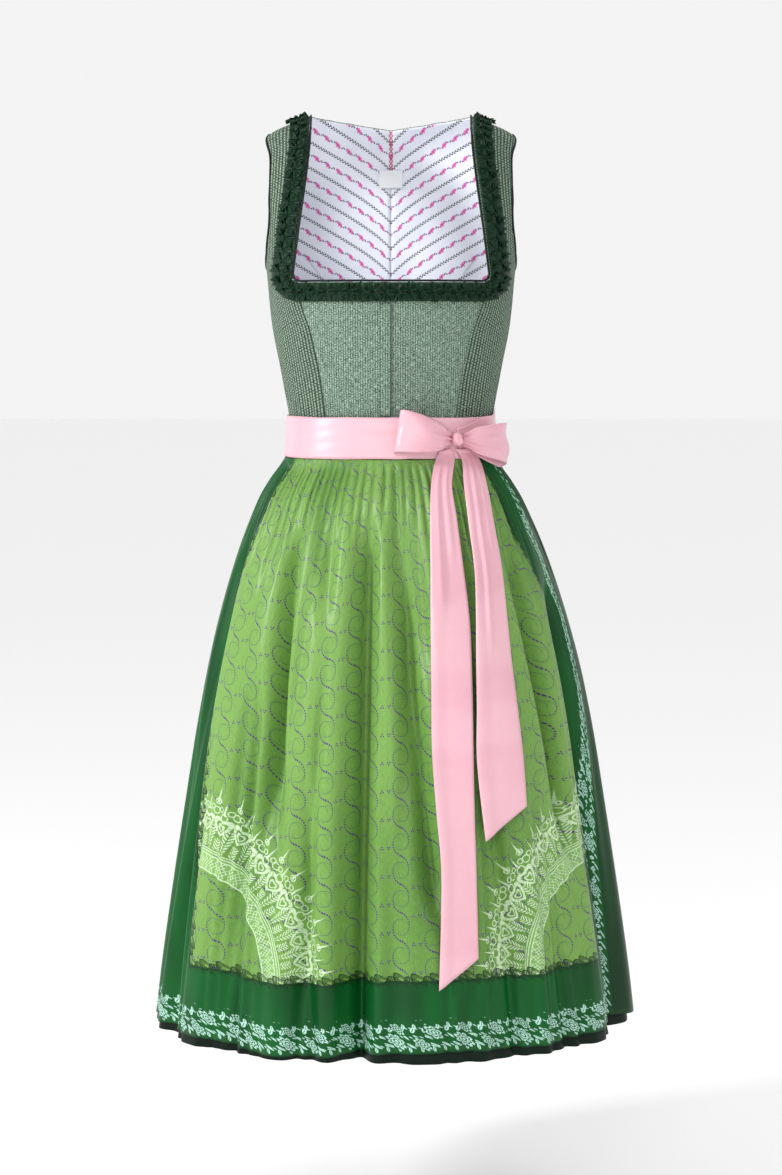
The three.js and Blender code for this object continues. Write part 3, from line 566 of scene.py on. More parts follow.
def ring(table, angle, z):
    turn = np.radians(angle)
    depth = np.where(np.cos(turn) > 0, column(table, 2, z), column(table, 3, z))
    x = column(table, 1, z) * term(np.sin(turn))
    return np.stack([x, -depth * term(np.cos(turn)), z + 0 * x], -1)


def outward(table, angle, z, level):
    around = ring(table, angle + 0.5, z) - ring(table, angle - 0.5, z)
    up = np.zeros_like(around)
    up[..., 2] = 1
    if not level:
        up = ring(table, angle, z + 0.5) - ring(table, angle, z - 0.5)
    normal = np.cross(around, up)
    return normal / np.linalg.norm(normal, axis=-1, keepdims=True)


def on_surface(table, angle, z, out, level=False):
    out = np.asarray(out, float)[..., None]
    return ring(table, angle, z) + outward(table, angle, z, level) * out


def angle_at(table, x, z, behind=False):
    share = np.clip(np.abs(x) / column(table, 1, z), 0, 1)
    angle = np.degrees(np.arcsin(share ** (POWER / 2)))
    return np.where(np.asarray(x) < 0, -1, 1) * (180 - angle if behind else angle)


def smooth(start, end, value):
    t = np.clip((value - start) / (end - start), 0, 1)
    return t * t * (3 - 2 * t)


def mix(a, b, t):
    return a + (b - a) * t


def turn_between(a, b):
    return (a - b + 540) % 360 - 180


def scattered(drift, height, spread, depth, gap):
    """Small folds all round, at random: (angle, drift, height, half width in degrees, depth)."""
    rows = []
    angle = -180.0
    while angle < 180:
        rows.append((angle, *(random.uniform(*limits) for limits in (drift, height, spread, depth))))
        angle += random.uniform(*gap)
    return rows


GATHERS = scattered((-1.5, 1.5), (-500, -620), (0.8, 1.3), (3.0, 6.2), (2.6, 4.4))
RIPPLES = scattered((-3, 3), (-470, -760), (1.2, 2.8), (4.0, 9.0), (5, 9))


def fold_depth(angle, z):
    """How far the cloth lies inside its ridges, in mm: large folds, soft ripples and fine gathers."""
    depth = np.zeros(np.broadcast(angle, z).shape)
    for top, foot, start, stop, spread, deep in FOLDS:
        middle = mix(top, foot, (z - start) / (SKIRT_HEM - start))
        across = np.exp(-((turn_between(angle, middle) / spread) ** 2))
        grown = smooth(start, start - FOLD_FADE, z) * smooth(stop, stop + FOLD_FADE, z)
        share = grown * np.minimum(1, 0.45 + (start - z) / 500)
        narrow = CREASE_WIDTH / np.radians(column(SKIRT, 1, z))
        crease = np.exp(-((turn_between(angle, middle + narrow * 0.9) / narrow) ** 2))
        depth += deep * share * (1.7 * across + 0.9 * crease)
    for middle, drift, foot, spread, deep in GATHERS:
        at = middle + drift * (z - BAND_BOTTOM) / -150
        grown = smooth(BAND_BOTTOM, -440, z) * smooth(foot, -450, z)
        depth += deep * grown * np.exp(-((turn_between(angle, at) / spread) ** 2))
    for middle, drift, start, spread, deep in RIPPLES:
        at = middle + drift * (z - start) / -300
        grown = smooth(start, start - 200, z)
        depth += deep * grown * np.exp(-((turn_between(angle, at) / spread) ** 2))
    return depth


def skirt_point(angle, z, out):
    return on_surface(SKIRT, angle, z, np.asarray(out) - fold_depth(angle, z), True)


# ---------------------------------------------------------------- meshes
def add_mesh(name, points, faces, uvs, material):
    """An object named after its node: points in mm, and their flat places on the cloth in metres."""
    mesh = bpy.data.meshes.new(name)
    mesh.from_pydata([tuple(p) for p in np.reshape(points, (-1, 3)) * MM], [], faces)
    layer = mesh.uv_layers.new(name="cloth")
    corners = np.empty(len(mesh.loops), int)
    mesh.loops.foreach_get("vertex_index", corners)
    layer.data.foreach_set("uv", np.reshape(uvs, (-1, 2)).astype(float)[corners].ravel())
    mesh.polygons.foreach_set("use_smooth", [True] * len(mesh.polygons))
    mesh.update()
    piece = bpy.data.objects.new(name + "_cloth", mesh)
    bpy.context.scene.collection.objects.link(piece)
    mesh.materials.append(material)
    return piece


def stand_in(piece, node):
    """Hides the node that the piece replaces, and hangs the piece on the body's root."""
    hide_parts(node)
    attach(piece, "root")


def finish_sheet(piece, node, wall, offset=0, inner=None):
    if inner is not None:
        piece.data.materials.append(inner)
    thick = piece.modifiers.new("wall", "SOLIDIFY")
    thick.thickness = wall * MM
    thick.offset = offset
    thick.use_even_offset = False
    thick.material_offset = 0 if inner is None else 1
    with bpy.context.temp_override(object=piece):
        bpy.ops.object.modifier_apply(modifier=thick.name)
    piece.data.polygons.foreach_set("use_smooth", [True] * len(piece.data.polygons))
    stand_in(piece, node)


def shell(name, points, uvs, wall, material, inner=None):
    """A cloth piece over a grid of outer points (mm), with its wall inwards."""
    piece = add_mesh(name, points, grid_faces(*points.shape[:2]), uvs, material)
    outwards = sum(
        face.area * (face.normal.x * face.center.x + face.normal.y * face.center.y)
        for face in piece.data.polygons
    )
    if outwards < 0:
        piece.data.flip_normals()
    finish_sheet(piece, name, wall, -1, inner)


def grid_faces(rows, columns, start=0):
    faces = []
    for r in range(rows - 1):
        for c in range(columns - 1):
            a = start + r * columns + c
            faces.append((a, a + 1, a + columns + 1, a + columns))
    return faces


def lengths(points, axis):
    """Running length over a grid of points (mm) along one of its axes, in metres."""
    gaps = np.linalg.norm(np.diff(points, axis=axis), axis=-1)
    pad = [(0, 0), (0, 0)]
    pad[axis] = (1, 0)
    return np.cumsum(np.pad(gaps, pad), axis=axis) * MM


def tube_faces(count, sides, closed):
    """Faces round `count` rings of points, with caps where the run is open."""
    faces = []
    for i in range(count if closed else count - 1):
        a, b = i * sides, (i + 1) % count * sides
        faces += [(a + k, a + (k + 1) % sides, b + (k + 1) % sides, b + k) for k in range(sides)]
    if not closed:
        faces.append(tuple(range(sides))[::-1])
        faces.append(tuple((count - 1) * sides + k for k in range(sides)))
    return faces


def soft_stretch(values, count):
    """`count` values spread evenly over a short list's own index, on a smooth curve through it."""
    values = np.asarray(values, float)
    last = len(values) - 1
    at = np.linspace(0, last, count)
    i = np.minimum(at.astype(int), last - 1)
    t = at - i
    slope = np.gradient(values)
    rise = t * t * (3 - 2 * t)
    return (values[i] * (1 - rise) + values[i + 1] * rise
            + t * (1 - t) ** 2 * slope[i] + t * t * (t - 1) * slope[i + 1])


def columns_of(table, which, count):
    """Some of a table's columns, each as `count` values on a smooth curve through its rows."""
    return [soft_stretch([row[k] for row in table], count) for k in which]


# ---------------------------------------------------------------- bodice
SEAM = 0.4
NECK_BOTTOM = -205
CORNER_RADIUS = 10
CORNER_X = 110
SHOULDER_SLOPE = 0.42
PRINCESS = [(-396, 78), (-378, 79), (-350, 82), (-320, 86), (-290, 92), (-262, 98), (-235, 108), (-205, 114)]
NECK_EDGE = [(-195, 120), (-140, 113), (-90, 106), (-45, 101), (-22, 100), (0, 100)]
SIDE_FRONT = [  # heights of the inner and outer edge, angle of the outer edge
    (-396, -396, 90), (-368, -368, 90), (-340, -340, 90), (-305, -305, 90), (-270, -265, 90),
    (-235, -225, 90), (-205, -201, 90), (-202.2, -197, 90), (-199, -193, 90), (-195, -189, 90),
    (-172, -170, 76), (-142, -140, 66.6), (-110, -108, 63.8), (-78, -78, 64.5), (-45, -52, 68),
    (-22, -35, 76), (-9, -26, 84), (0, -22, 90),
]
CENTRE_BACK = [  # middle height, x and height under the neck point, seam x or else armhole angle, edge height
    (-396, 30, -396, 42, None, -396), (-368, 30, -368, 43, None, -368), (-330, 34, -330, 48, None, -330),
    (-290, 40, -290, 56, None, -290), (-250, 48, -248, 68, None, -245), (-208, 56, -204, 86, None, -204),
    (-170, 66, -163, 114, None, -168), (-135, 76, -126, 148, None, -140), (-100, 86, -88, 0, 112, -108),
    (-70, 93, -54, 0, 112, -78), (-44, 98, -28, 0, 109, -52),
    (-26, 100, -11, 0, 100, -33), (-14, 100, 0, 0, 90, -22),
]
SIDE_BACK = [  # heights of the inner and outer edge
    (-396, -396), (-368, -368), (-330, -330), (-290, -290), (-245, -252), (-204, -222),
    (-168, -203), (-140, -189),
]
UNDERARM_Z = -189


def neck_x(z):
    drop = NECK_BOTTOM + CORNER_RADIUS - z
    round_x = CORNER_X + np.sqrt(np.maximum(CORNER_RADIUS ** 2 - np.maximum(drop, 0) ** 2, 0))
    return np.where(drop <= 0, column(NECK_EDGE, 1, z), round_x)


def torso_points(angle, z, out, side):
    points = on_surface(TORSO, angle, z, out)
    if side:
        points[..., 1] = side * np.maximum(side * points[..., 1], SEAM / 2)
    return points


def between_edges(start, inner, end, outer, columns):
    """Angles and heights over a panel, from the angle and height of its two edges."""
    t = np.linspace(0, 1, columns)[None, :]
    return mix(start[:, None], end[:, None], t), mix(inner[:, None], outer[:, None], t)


def puckers(angle, z, seed):
    """Small strains in fitted cloth, in mm."""
    wave = np.sin(angle * 0.31 + z * 0.021 + seed) * np.sin(z * 0.047 - angle * 0.05 + seed * 2)
    waist = smooth(-300, -370, z) * np.sin(angle * 0.9 + seed) * 0.6
    return 0.5 * wave + waist


def bodice_shell(name, angle, z, side, material, mirror, seams=(True, True)):
    """A bodice panel; `seams` says which of its two upright edges are drawn in by a seam."""
    columns = angle.shape[1]
    edge = np.linspace(0, 1, columns)[None, :]
    out = puckers(angle, z, len(name)) - 0.6
    for sewn, at in zip(seams, (0.0, 1.0)):
        if sewn:
            out = out - 0.4 * np.exp(-(((edge - at) * columns / 2.2) ** 2))
    points = torso_points(angle, z, np.minimum(out, 0.4), side)
    u, v = lengths(points, 1), z * MM
    if mirror:
        points = points * (-1, 1, 1)
        u = -u
    shell(name, points, np.stack([u, v + 0 * u], -1), 1.0, material, inner=BODICE_INSIDE)


def add_front():
    for suffix, mirror in (("l", False), ("r", True)):
        heights = soft_stretch([WAIST_Z, -368, -340, -305, -270, -235, NECK_BOTTOM], 60)
        share = np.linspace(0, 1, 36)[None, :]
        x = mix(SEAM / 2, column(PRINCESS, 1, heights)[:, None] - SEAM / 2, share)
        z = heights[:, None] + 0 * x
        angle = angle_at(TORSO, x, z)
        bodice_shell("front_center_" + suffix, angle, z, 0, CENTRE_TWEED, mirror)

        inner, outer, turn = columns_of(SIDE_FRONT, range(3), 130)
        inner = np.clip(inner, WAIST_Z, 0)
        start_x = np.where(inner <= NECK_BOTTOM, column(PRINCESS, 1, inner) + SEAM / 2, neck_x(inner))
        start = angle_at(TORSO, start_x, inner)
        angle, z = between_edges(start, inner, np.minimum(turn, 90), outer, 30)
        bodice_shell("front_side_" + suffix, angle, z, -1, SIDE_TWEED, mirror, (True, False))


def add_placket():
    x, z = np.meshgrid(-np.linspace(SEAM / 2, 12, 6), np.linspace(-366.5, -231, 40))
    points = torso_points(angle_at(TORSO, x, z), z, 1.2, 0)
    shell("fly_placket", points, np.stack([x * MM, z * MM], -1), 0.8, CENTRE_TWEED)


def centre_back_places(start, inset, half_columns, edge_columns, count):
    """Half of the back's centre panel: from the middle to under the neck point, and on to its edge."""
    middle, side_x, side_z, edge_z = columns_of(CENTRE_BACK, (0, 1, 2, 5), count)
    edge = soft_stretch([
        float(angle_at(TORSO, seam_x - inset, z, True)) if turn is None else turn
        for _, _, _, seam_x, turn, z in CENTRE_BACK
    ], count)
    t = np.linspace(0, 1, half_columns)[None, :]
    z = mix(middle[:, None], side_z[:, None], t)
    angle = angle_at(TORSO, mix(start, side_x[:, None], t), z, True)
    more_angle, more_z = between_edges(angle[:, -1], side_z, edge, edge_z, edge_columns)
    return np.hstack([angle, more_angle[:, 1:]]), np.hstack([z, more_z[:, 1:]])


def side_back_places(inset, columns, count):
    """The back's side panel: its top row bends down along the armhole."""
    inner, outer = columns_of(SIDE_BACK, (0, 1), count)
    seam = soft_stretch([row[3] + inset for row in CENTRE_BACK[:len(SIDE_BACK)]], count)
    start = angle_at(TORSO, seam, inner, True)
    t = np.linspace(0, 1, columns)[None, :]
    bend = smooth(0.75, 1.0, np.linspace(0, 1, count))[:, None]
    angle = mix(start[:, None], 90, t ** (1 + 0.25 * bend))
    return angle, mix(inner[:, None], outer[:, None], t ** (1 - 0.2 * bend))


def add_back():
    angle, z = centre_back_places(0, SEAM / 2, 16, 12, 110)
    angle = np.hstack([360 - angle[:, :0:-1], angle])
    z = np.hstack([z[:, :0:-1], z])
    bodice_shell("back_center", angle, z, 1, SIDE_TWEED, False)
    angle, z = side_back_places(SEAM / 2, 30, 70)
    for suffix, mirror in (("l", False), ("r", True)):
        bodice_shell("back_side_" + suffix, angle, z, 1, SIDE_TWEED, mirror)


def add_lining():
    centre = centre_back_places(SEAM / 2, 0, 16, 12, 104)
    side = side_back_places(0, 18, 60)
    for suffix, sign in (("l", 1), ("r", -1)):
        points, uvs, faces = [], [], []
        for angle, z in (centre, side):
            grid = torso_points(angle, z, -3.0, 1) * (sign, 1, 1)
            x = np.abs(grid[..., 0])
            girth = np.sqrt(x ** 2 + (0.25 * x) ** 2) * MM * 1.08
            faces += grid_faces(*grid.shape[:2], len(points))
            points += list(grid.reshape(-1, 3))
            uvs += list(np.stack([sign * girth, z * MM], -1).reshape(-1, 2))
        if sign < 0:
            faces = [face[::-1] for face in faces]
        name = "lining_back_" + suffix
        piece = add_mesh(name, points, faces, uvs, LINING)
        finish_sheet(piece, name, 0.7)


def add_label():
    x, z = np.meshgrid(np.linspace(-15, 15, 16), np.linspace(-83, -60, 12))
    angle = angle_at(TORSO, x, z, True)
    points = on_surface(TORSO, np.where(angle < 0, angle + 360, angle), z, -6.6)
    piece = add_mesh("label", points, grid_faces(12, 16), np.stack([x * MM, z * MM], -1), LABEL)
    finish_sheet(piece, "label", 0.8)


# ---------------------------------------------------------------- neck and armhole trim
def neck_place(run, aside):
    """Angle and height beside the neck edge: run 0 at the front's middle, 1 at the start of the corner,
    2 at its end, 3 on the shoulder seam; aside is the distance into the cloth (mm)."""
    if run <= 1:
        x, z = run * CORNER_X, NECK_BOTTOM - aside
    elif run <= 2:
        turn = (run - 1) * math.pi / 2
        reach = CORNER_RADIUS + aside
        x = CORNER_X + reach * math.sin(turn)
        z = NECK_BOTTOM + CORNER_RADIUS - reach * math.cos(turn)
    elif run <= 3:
        along = (NECK_BOTTOM + CORNER_RADIUS) * (1 - (run - 2))
        x = float(neck_x(along)) + aside
        z = along - aside * SHOULDER_SLOPE * float(smooth(-80, 0, along))
        if x >= float(column(TORSO, 1, z)) - 0.01:
            return 90.0, z
    else:
        t = run - 3
        return mix(90, mix(112, 103, aside / 24), t), mix(-SHOULDER_SLOPE * aside, -3 - aside * 0.46, t)
    return float(angle_at(TORSO, x, z)), z


def neck_point(run, aside, out):
    """A point of the neck trim; negative runs are the wearer's right half."""
    angle, z = neck_place(abs(run), aside)
    sign = -1 if run < 0 else 1
    return on_surface(TORSO, np.array(angle), np.array(z), out) * (sign, 1, 1)


def neck_stations(step):
    """Runs spaced `step` mm apart along the middle of the trim, from one shoulder round to the other."""
    runs = np.linspace(0, 3.6, 900)
    spots = np.array([neck_point(run, 12, 0) for run in runs])
    length = np.concatenate([[0], np.cumsum(np.linalg.norm(np.diff(spots, axis=0), axis=1))])
    count = int(length[-1] // step)
    half = np.interp(np.arange(1, count + 1) * step, length, runs)
    return list(-half[::-1]) + [0.0] + list(half)


def add_ruching():
    """A strip pleated into small flowers: four pouches that open outwards over two flatter ones."""
    unit = 14.0
    stations = neck_stations(1.0)
    count = int((len(stations) - 1) // unit)
    first = ((len(stations) - 1) - count * unit) / 2

    def run_at(length):
        return float(np.interp(length, np.arange(len(stations)), stations))

    points, faces, uvs = [], [], []
    strip_rows, strip_columns = len(stations) // 3, 9
    for i in range(strip_rows):
        run = run_at(i * 3 + 1)
        for j in range(strip_columns):
            across = mix(1.0, 23.0, j / (strip_columns - 1))
            points.append(neck_point(run, across, 1.9 + 0.7 * math.sin(i * 1.3 + j * 1.1)))
            uvs.append((i * 3 * MM, across * MM))
    faces += grid_faces(strip_rows, strip_columns)
    rng = random.Random(5)
    steps = 8
    petals = [(90, 0.88, 0.7, 2.0), (-90, 0.88, 0.7, 2.0)]  # direction, length, height, width
    petals += [(turn, 1.0, 1.0, 1.0) for turn in (42, 138, -42, -138)]
    for k in range(count + 1):
        middle = first + k * unit + rng.uniform(-0.6, 0.6)
        for turn, length, tall, wide in petals:
            way = math.radians(turn + rng.uniform(-14, 14))
            reach = 11.8 * length * rng.uniform(0.92, 1.10)
            tall = tall * rng.uniform(0.85, 1.15)
            curl = rng.uniform(-1.0, 1.0)
            start = len(points)
            for a in range(steps):
                s = a / (steps - 1)
                for b in range(steps):
                    t = 2 * b / (steps - 1) - 1
                    out = 1.0 + reach * s * (1 - 0.30 * abs(t) ** 1.5 * s)
                    aside = t * (0.9 + 4.1 * s ** 0.8 * (0.8 + 0.2 * wide)) + curl * s * s
                    cup = 0.25 + 0.75 * abs(t) ** 1.4
                    lift = 2.3 + tall * (6.3 * s ** 0.6 * cup - 2.4 * s * s * (1 - 0.3 * abs(t)))
                    along = out * math.cos(way) - aside * math.sin(way)
                    across = 12 + out * math.sin(way) + aside * math.cos(way)
                    place = min(max(middle + along, 0.2), len(stations) - 1.2)
                    points.append(neck_point(run_at(place), min(max(across, -0.8), 25.6), min(lift, 10.2)))
                    uvs.append((aside * MM, out * MM))
            faces += grid_faces(steps, steps, start)
    piece = add_mesh("neck_ruching", points, faces, uvs, RUCHE)
    finish_sheet(piece, "neck_ruching", 0.4)


def sideways(spots, normals, closed):
    """At each spot of a run on the cloth, the direction across the run."""
    after, before = np.roll(spots, -1, axis=0), np.roll(spots, 1, axis=0)
    if not closed:
        after[-1], before[0] = spots[-1], spots[0]
    across = np.cross(after - before, normals)
    return across / np.linalg.norm(across, axis=-1, keepdims=True)


def add_tube(name, places, outset, closed, side=1):
    """Piping beside an edge, given by its angles and heights; side -1 mirrors it."""
    radius, sides = 1.3, 8
    angle, z = np.array(places, float).T
    spots = on_surface(TORSO, angle, z, 0)
    normals = outward(TORSO, angle, z, False)
    centres = (spots + sideways(spots, normals, closed) * outset - normals * 0.6) * (side, 1, 1)
    normals = normals * (side, 1, 1)
    across = sideways(centres, normals, closed)
    points, uvs = [], []
    for i in range(len(centres)):
        for k in range(sides):
            turn = math.tau * k / sides
            points.append(centres[i] + radius * (math.cos(turn) * across[i] + math.sin(turn) * normals[i]))
            uvs.append((i * 0.004, k * 0.001))
    stand_in(add_mesh(name, points, tube_faces(len(centres), sides, closed), uvs, PIPING), name)


def add_neck_piping():
    places = []
    for run in np.concatenate([-np.linspace(3, 0, 120), np.linspace(0, 3, 120)[1:]]):
        angle, z = neck_place(abs(run), 0)
        places.append((angle * (-1 if run < 0 else 1), z))
    add_tube("neck_piping", places, -1.7, False)


def add_armhole_piping():
    front = [(turn, z) for _, z, turn in SIDE_FRONT if z > UNDERARM_Z]
    back = [(row[4], row[5]) for row in CENTRE_BACK if row[4] and row[4] > 90]
    angle, z = side_back_places(0, 6, 20)
    loop = front + back[::-1] + list(zip(angle[-1], z[-1]))
    places = np.array(columns_of(loop + loop[:1], (0, 1), 120)).T[:-1]
    add_tube("armhole_piping_l", places, 1.7, True)
    add_tube("armhole_piping_r", places, 1.7, True, -1)


# ---------------------------------------------------------------- skirt and apron
def skirt_heights(top, bottom, count):
    """Heights from top to bottom, closer together at the top."""
    return mix(top, bottom, np.linspace(0, 1, count) ** 1.25)


def add_skirt():
    for name, start, stop, side in (("skirt_front", -90, 90, -1), ("skirt_back", 90, 270, 1)):
        angle, z = np.meshgrid(np.linspace(start, stop, 301), skirt_heights(WAIST_Z - 0.4, SKIRT_HEM, 84))
        points = skirt_point(angle, z, -0.2)
        points[..., 1] = side * np.maximum(side * points[..., 1], SEAM / 2)
        drop = lengths(points, 0)
        uvs = np.stack([np.broadcast_to(lengths(points, 1)[-1], drop.shape), -drop], -1)
        shell(name, points, uvs, 0.9, SKIRT_CLOTH)


APRON_START, APRON_STOP = -108, 85.5
FIELD_LEFT = [  # height and angle of the light panel's edge
    (-421, -63), (-543, -68), (-642, -70), (-762, -65), (-882, -62), (-1037, -56), (-1115, -54),
]
FIELD_RIGHT = [
    (-421, 53), (-511, 55), (-560, 62), (-607, 71), (-704, 72), (-770, 70), (-832, 67), (-910, 64),
    (-1025, 63), (-1115, 63),
]


def follow(table, z):
    rows = sorted(table)
    return np.interp(z, [row[0] for row in rows], [row[1] for row in rows])


def apron_angles(share, z):
    """Angle of each thread at height z: the side threads drift as the printed edges do."""
    left, right = follow(FIELD_LEFT, z), follow(FIELD_RIGHT, z)
    foot = [APRON_START, FIELD_LEFT[-1][1], 0, FIELD_RIGHT[-1][1], APRON_STOP]
    return np.array([
        np.interp(share[r], foot, [APRON_START, left[r, 0], 0, right[r, 0], APRON_STOP])
        for r in range(len(share))
    ])


def add_apron():
    foot = np.linspace(APRON_START, APRON_STOP, 421)
    share, z = np.meshgrid(foot, skirt_heights(BAND_BOTTOM - 0.4, -1115, 118))
    angle = apron_angles(share, z)
    wave = 3 * np.sin(np.radians(angle * 6 + 40)) + 3.0 * np.sin(np.radians(angle * 2.3 - 20))
    z = z + wave * smooth(-900, -1115, z)
    flare = 7 * smooth(72, APRON_STOP, angle) * smooth(-450, -700, z)
    points = skirt_point(angle, z, 1.9 + flare)
    hem, drop = lengths(points, 1)[-1], lengths(points, 0)
    left, right = (np.interp(table[-1][1], foot, hem) for table in (FIELD_LEFT, FIELD_RIGHT))
    uvs = np.stack([np.broadcast_to(hem - left, drop.shape), drop[-1:] - drop], -1)
    material = apron_material(round(float(right - left), 4))
    shell("apron", points, uvs, 0.7, material, APRON_BACK)


# ---------------------------------------------------------------- waistband, ties and bow
LAYER = 1.3
RIBBON_WIDTH = 0.05
KNOT_ANGLE = 33
KNOT_Z = -394


def ribbon_run(name, angles, levels, pinch, seed, creases=(), flap=None):
    """A run of ribbon on the waistband: creases are (start angle, end angle, rise share, depth)."""
    across = np.linspace(0, 1, 15)[None, :]
    angle = np.asarray(angles)[:, None] + 0 * across
    top = BAND_TOP - 13 * pinch[:, None]
    bottom = BAND_BOTTOM + 13 * pinch[:, None]
    if flap is not None:
        top = top + 9 * np.exp(-(((angle - flap) / 8) ** 2))
    z = mix(top, bottom, across) + 0.5 * np.sin(np.radians(angle * 5) + seed)
    out = np.asarray(levels)[:, None] * LAYER + 0.9 + 0.16 * np.sin(across * 21 + angle * 0.12 + seed)
    for start, stop, share, depth in creases:
        at = mix(share, 0.5, (angle - start) / (stop - start))
        inside = smooth(start - 12, start, angle) * smooth(stop + 12, stop, angle)
        out = out + depth * inside * np.exp(-(((across - at) / 0.08) ** 2))
    points = on_surface(BAND, angle, z, out)
    u = lengths(points, 0)
    shell(name, points, np.stack([u, across * RIBBON_WIDTH + 0 * u], -1), 0.6, RIBBON)


def pinch_at(angles):
    """How far the ribbon is drawn together, from 0 to 1 at the knot."""
    return smooth(30, 0, np.abs(turn_between(angles, KNOT_ANGLE)))


def add_waist():
    angles = np.linspace(-102, 96, 200)
    ribbon_run("apron_waistband", angles, 0 * angles, 0 * angles, 1)

    angles = np.concatenate([np.linspace(-102.3, -258, 150), [-260, -262.5], np.linspace(-264, -324, 66)])
    levels = smooth(-258, -262.5, angles)
    creases = ((-318, -290, 0.3, 0.8), (-318, -285, 0.7, 0.6))
    pinch = pinch_at(angles) * (angles < -270)
    ribbon_run("tie_a", angles, levels, pinch, 2, creases, -273)

    angles = np.concatenate([np.linspace(103.5, 330, 190), np.linspace(331, 390, 84)])
    creases = ((349, 390, 0.2, 0.9), (344, 390, 0.8, 0.8), (356, 390, 0.45, -0.6))
    pinch = pinch_at(angles) * (angles > 300)
    ribbon_run("tie_b", angles, 1 + 0 * angles, pinch, 3, creases)


LOOP = [  # share of the reach, distance from the waistband, height of the ribbon, drop of its middle
    (0.0, 13.0, 13, 0), (0.10, 15.0, 22, 0), (0.25, 18.5, 34, 0), (0.6, 22.5, 45, 0), (0.88, 21.5, 50, 0),
    (0.985, 18, 51, 1), (1.0, 14, 51, 3), (0.96, 10, 50, 5), (0.8, 9.2, 46, 6), (0.5, 8.6, 38, 5),
    (0.2, 8.2, 26, 2), (0.0, 8.2, 13, 0),
]
LONG_TAIL = [  # height at the left and right edge, x of the left and right edge
    (-408, -405, 58, 72), (-420, -418, 52, 75), (-450, -450, 47, 72), (-490, -490, 46, 78),
    (-548, -548, 46, 86), (-611, -611, 46, 93), (-690, -690, 47, 95), (-757, -757, 48, 96),
    (-830, -830, 53, 98), (-890, -890, 58, 100), (-950, -940, 58, 101), (-1038, -1002, 56, 102),
]
SHORT_TAIL = [
    (-406, -406, 76, 90), (-420, -420, 83, 104), (-450, -450, 85, 112), (-490, -490, 90, 119),
    (-548, -548, 97, 130), (-600, -600, 98, 136), (-653, -653, 98, 141), (-710, -710, 99, 147),
    (-775, -765, 100, 153), (-866, -828, 110, 158),
]


def add_ribbon(name, points, share):
    """A loose stretch of ribbon from a grid of points (mm); `share` runs from 0 to 1 across it."""
    u = lengths(points, 0)
    uvs = np.stack([u, share * RIBBON_WIDTH + 0 * u], -1)
    piece = add_mesh(name, points, grid_faces(*points.shape[:2]), uvs, RIBBON)
    finish_sheet(piece, name, 0.6)


def add_loop(name, end, rise, lean, seed):
    """One loop of the bow: out from the knot over the front and back underneath. `lean` slants its far
    end, in degrees from its top to its bottom edge."""
    count = 110
    reach, out, tall, drop = (values[:, None] for values in columns_of(LOOP, range(4), count))
    reach = np.clip(reach, 0, 1)
    start = KNOT_ANGLE + math.copysign(3.6, end - KNOT_ANGLE)
    across = np.linspace(-0.5, 0.5, 25)[None, :]
    angle = mix(start, end + lean * across, reach)
    front = np.linspace(1, 0, count)[:, None]
    pleat = np.exp(-reach / 0.30) * (0.6 + 0.4 * front)
    waves = np.cos(across * math.tau * 3 + seed) + 0.5 * np.cos(across * math.tau * 5.3 + seed * 2)
    belly = np.cos(across * math.pi) * (4.0 * reach * (1 - reach) * 4 * smooth(0.35, 0.7, front))
    sag = 2.0 * np.sin(across * 8 + reach * 5 + seed) * reach
    out = out + 2.4 * pleat * waves + belly + sag * smooth(0.2, 0.6, front)
    middle = KNOT_Z + rise * reach ** 0.9 - drop
    points = on_surface(BAND, angle, np.clip(middle, -440, -350) + 0 * angle, out)
    points[..., 2] = middle - across * tall
    add_ribbon(name, points, across + 0.5)


def add_tail(name, rows, clearance, folds):
    """A hanging end of the ribbon: over the waistband at its top, then on the apron."""
    z_left, z_right, left, right = (values[:, None] for values in columns_of(rows, range(4), 120))
    t = np.linspace(0, 1, 17)[None, :]
    x, z = mix(left, right, t), mix(z_left, z_right, t)
    angle = angle_at(SKIRT, x, z)
    high = z > -410.4
    away = clearance * smooth(-380, -470, z) + LAYER * 2 * smooth(-470, -400, z) + 1.8
    out = np.where(high, LAYER * 2 + 1, away)
    for start, stop, share, depth in folds:
        inside = smooth(start, start - 40, z) * smooth(stop, stop + 60, z)
        out = out + depth * inside * np.exp(-(((t - share) / 0.09) ** 2))
    fall = smooth(-430, -520, z)
    curl = 2.2 * np.exp(-(((t - 0.12) / 0.16) ** 2))
    out = out + fall * (1.8 * np.sin(z * 0.019 + t * 2.2 + len(name)) + curl)
    low = ring(SKIRT, angle, z)
    up = ring(BAND, angle_at(BAND, x, z), z)
    points = np.where(high[..., None], up, low) + outward(SKIRT, angle, z, True) * out[..., None]
    add_ribbon(name, points, t)


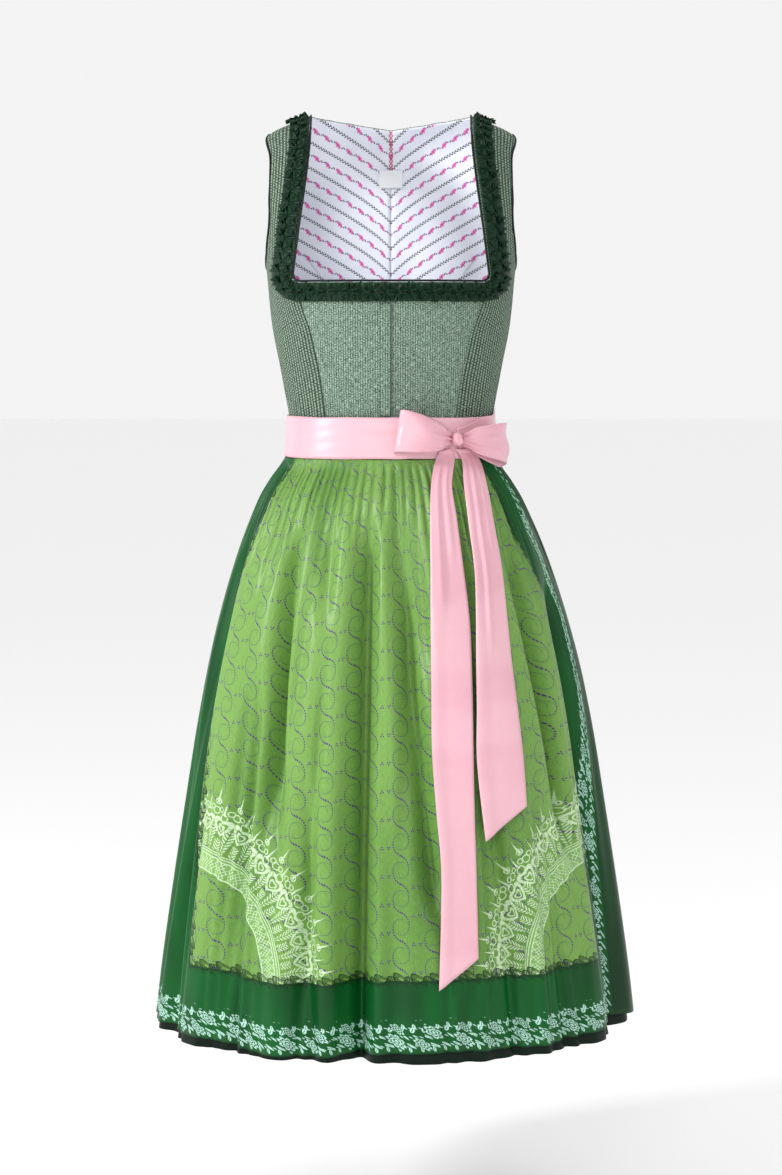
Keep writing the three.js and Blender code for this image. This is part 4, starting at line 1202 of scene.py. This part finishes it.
def add_knot():
    """The ribbon wrapped over the middle of the bow, with soft creases across it."""
    middle = on_surface(BAND, np.array(KNOT_ANGLE), np.array(KNOT_Z), LAYER * 2 + 10.0)
    out = outward(BAND, np.array(KNOT_ANGLE), np.array(KNOT_Z), True)
    along = np.cross((0, 0, 1), out)
    rows, sides = 29, 40
    points, uvs = [], []
    for r in range(rows):
        rise = 2 * r / (rows - 1) - 1
        swell = max(1 - abs(rise) ** 3.2, 0.02) ** 0.5
        for k in range(sides):
            turn = math.tau * k / sides
            crease = 1 + 0.07 * math.sin(3 * turn + rise * 2.5) + 0.05 * math.sin(7 * turn - rise * 4)
            aside = along * (6.6 * swell * crease * math.cos(turn) - rise * 1.5)
            raised = out * 8.6 * swell * crease * math.sin(turn)
            points.append(middle + aside + raised + np.array([0, 0, rise * 8.5]))
            uvs.append((0.03 * rise, 0.05 * k / sides))
    stand_in(add_mesh("bow_knot", points, tube_faces(rows, sides, False), uvs, RIBBON), "bow_knot")


# ---------------------------------------------------------------- the dress
add_camera()
add_studio()
CENTRE_TWEED = tweed("centre_tweed", (26, 58, 40), (88, 124, 100), (196, 216, 198), False)
SIDE_TWEED = tweed("side_tweed", (12, 34, 22), (54, 82, 62), (160, 184, 160), True)
BODICE_INSIDE = plain_material("bodice_inside", (0.75, 0.77, 0.8), 0.85)
LINING = lining_material()
LABEL = satin("label_weave", (246, 248, 250), (228, 232, 236), (250, 252, 254), 0.5)
RUCHE = satin("ruche_satin", (0, 46, 21), (0, 20, 10), (30, 104, 62), 0.42, 0.26, 0.0)
PIPING = satin("piping_satin", (6, 28, 17), (3, 16, 9), (30, 70, 50), 0.5, 0.25, 0.0)
RIBBON = satin("ribbon_satin", (234, 180, 192), (216, 142, 162), (255, 222, 232), 0.33, 0.7)
SKIRT_CLOTH = satin("skirt_satin", (3, 22, 12), (2, 10, 6), (14, 44, 28), 0.55, 0.18, 0.0)
APRON_BACK = satin("apron_reverse", (70, 112, 60), (50, 92, 44), (120, 160, 110), 0.5)

add_front()
add_placket()
add_back()
add_lining()
add_label()
add_ruching()
add_neck_piping()
add_armhole_piping()
add_skirt()
add_apron()
add_waist()
add_loop("bow_loop_left", 2.5, 12, -2.6, 0.4)
add_loop("bow_loop_right", 74, -7, 3.0, 2.1)
add_tail("bow_tail_long", LONG_TAIL, 3.6, ((-412, -620, 0.30, 3.0), (-408, -560, 0.68, 2.4)))
add_tail("bow_tail_short", SHORT_TAIL, 6.0,
         ((-408, -660, 0.42, 4.2), (-410, -560, 0.72, 2.8), (-408, -520, 0.15, 2.0)))
add_knot()
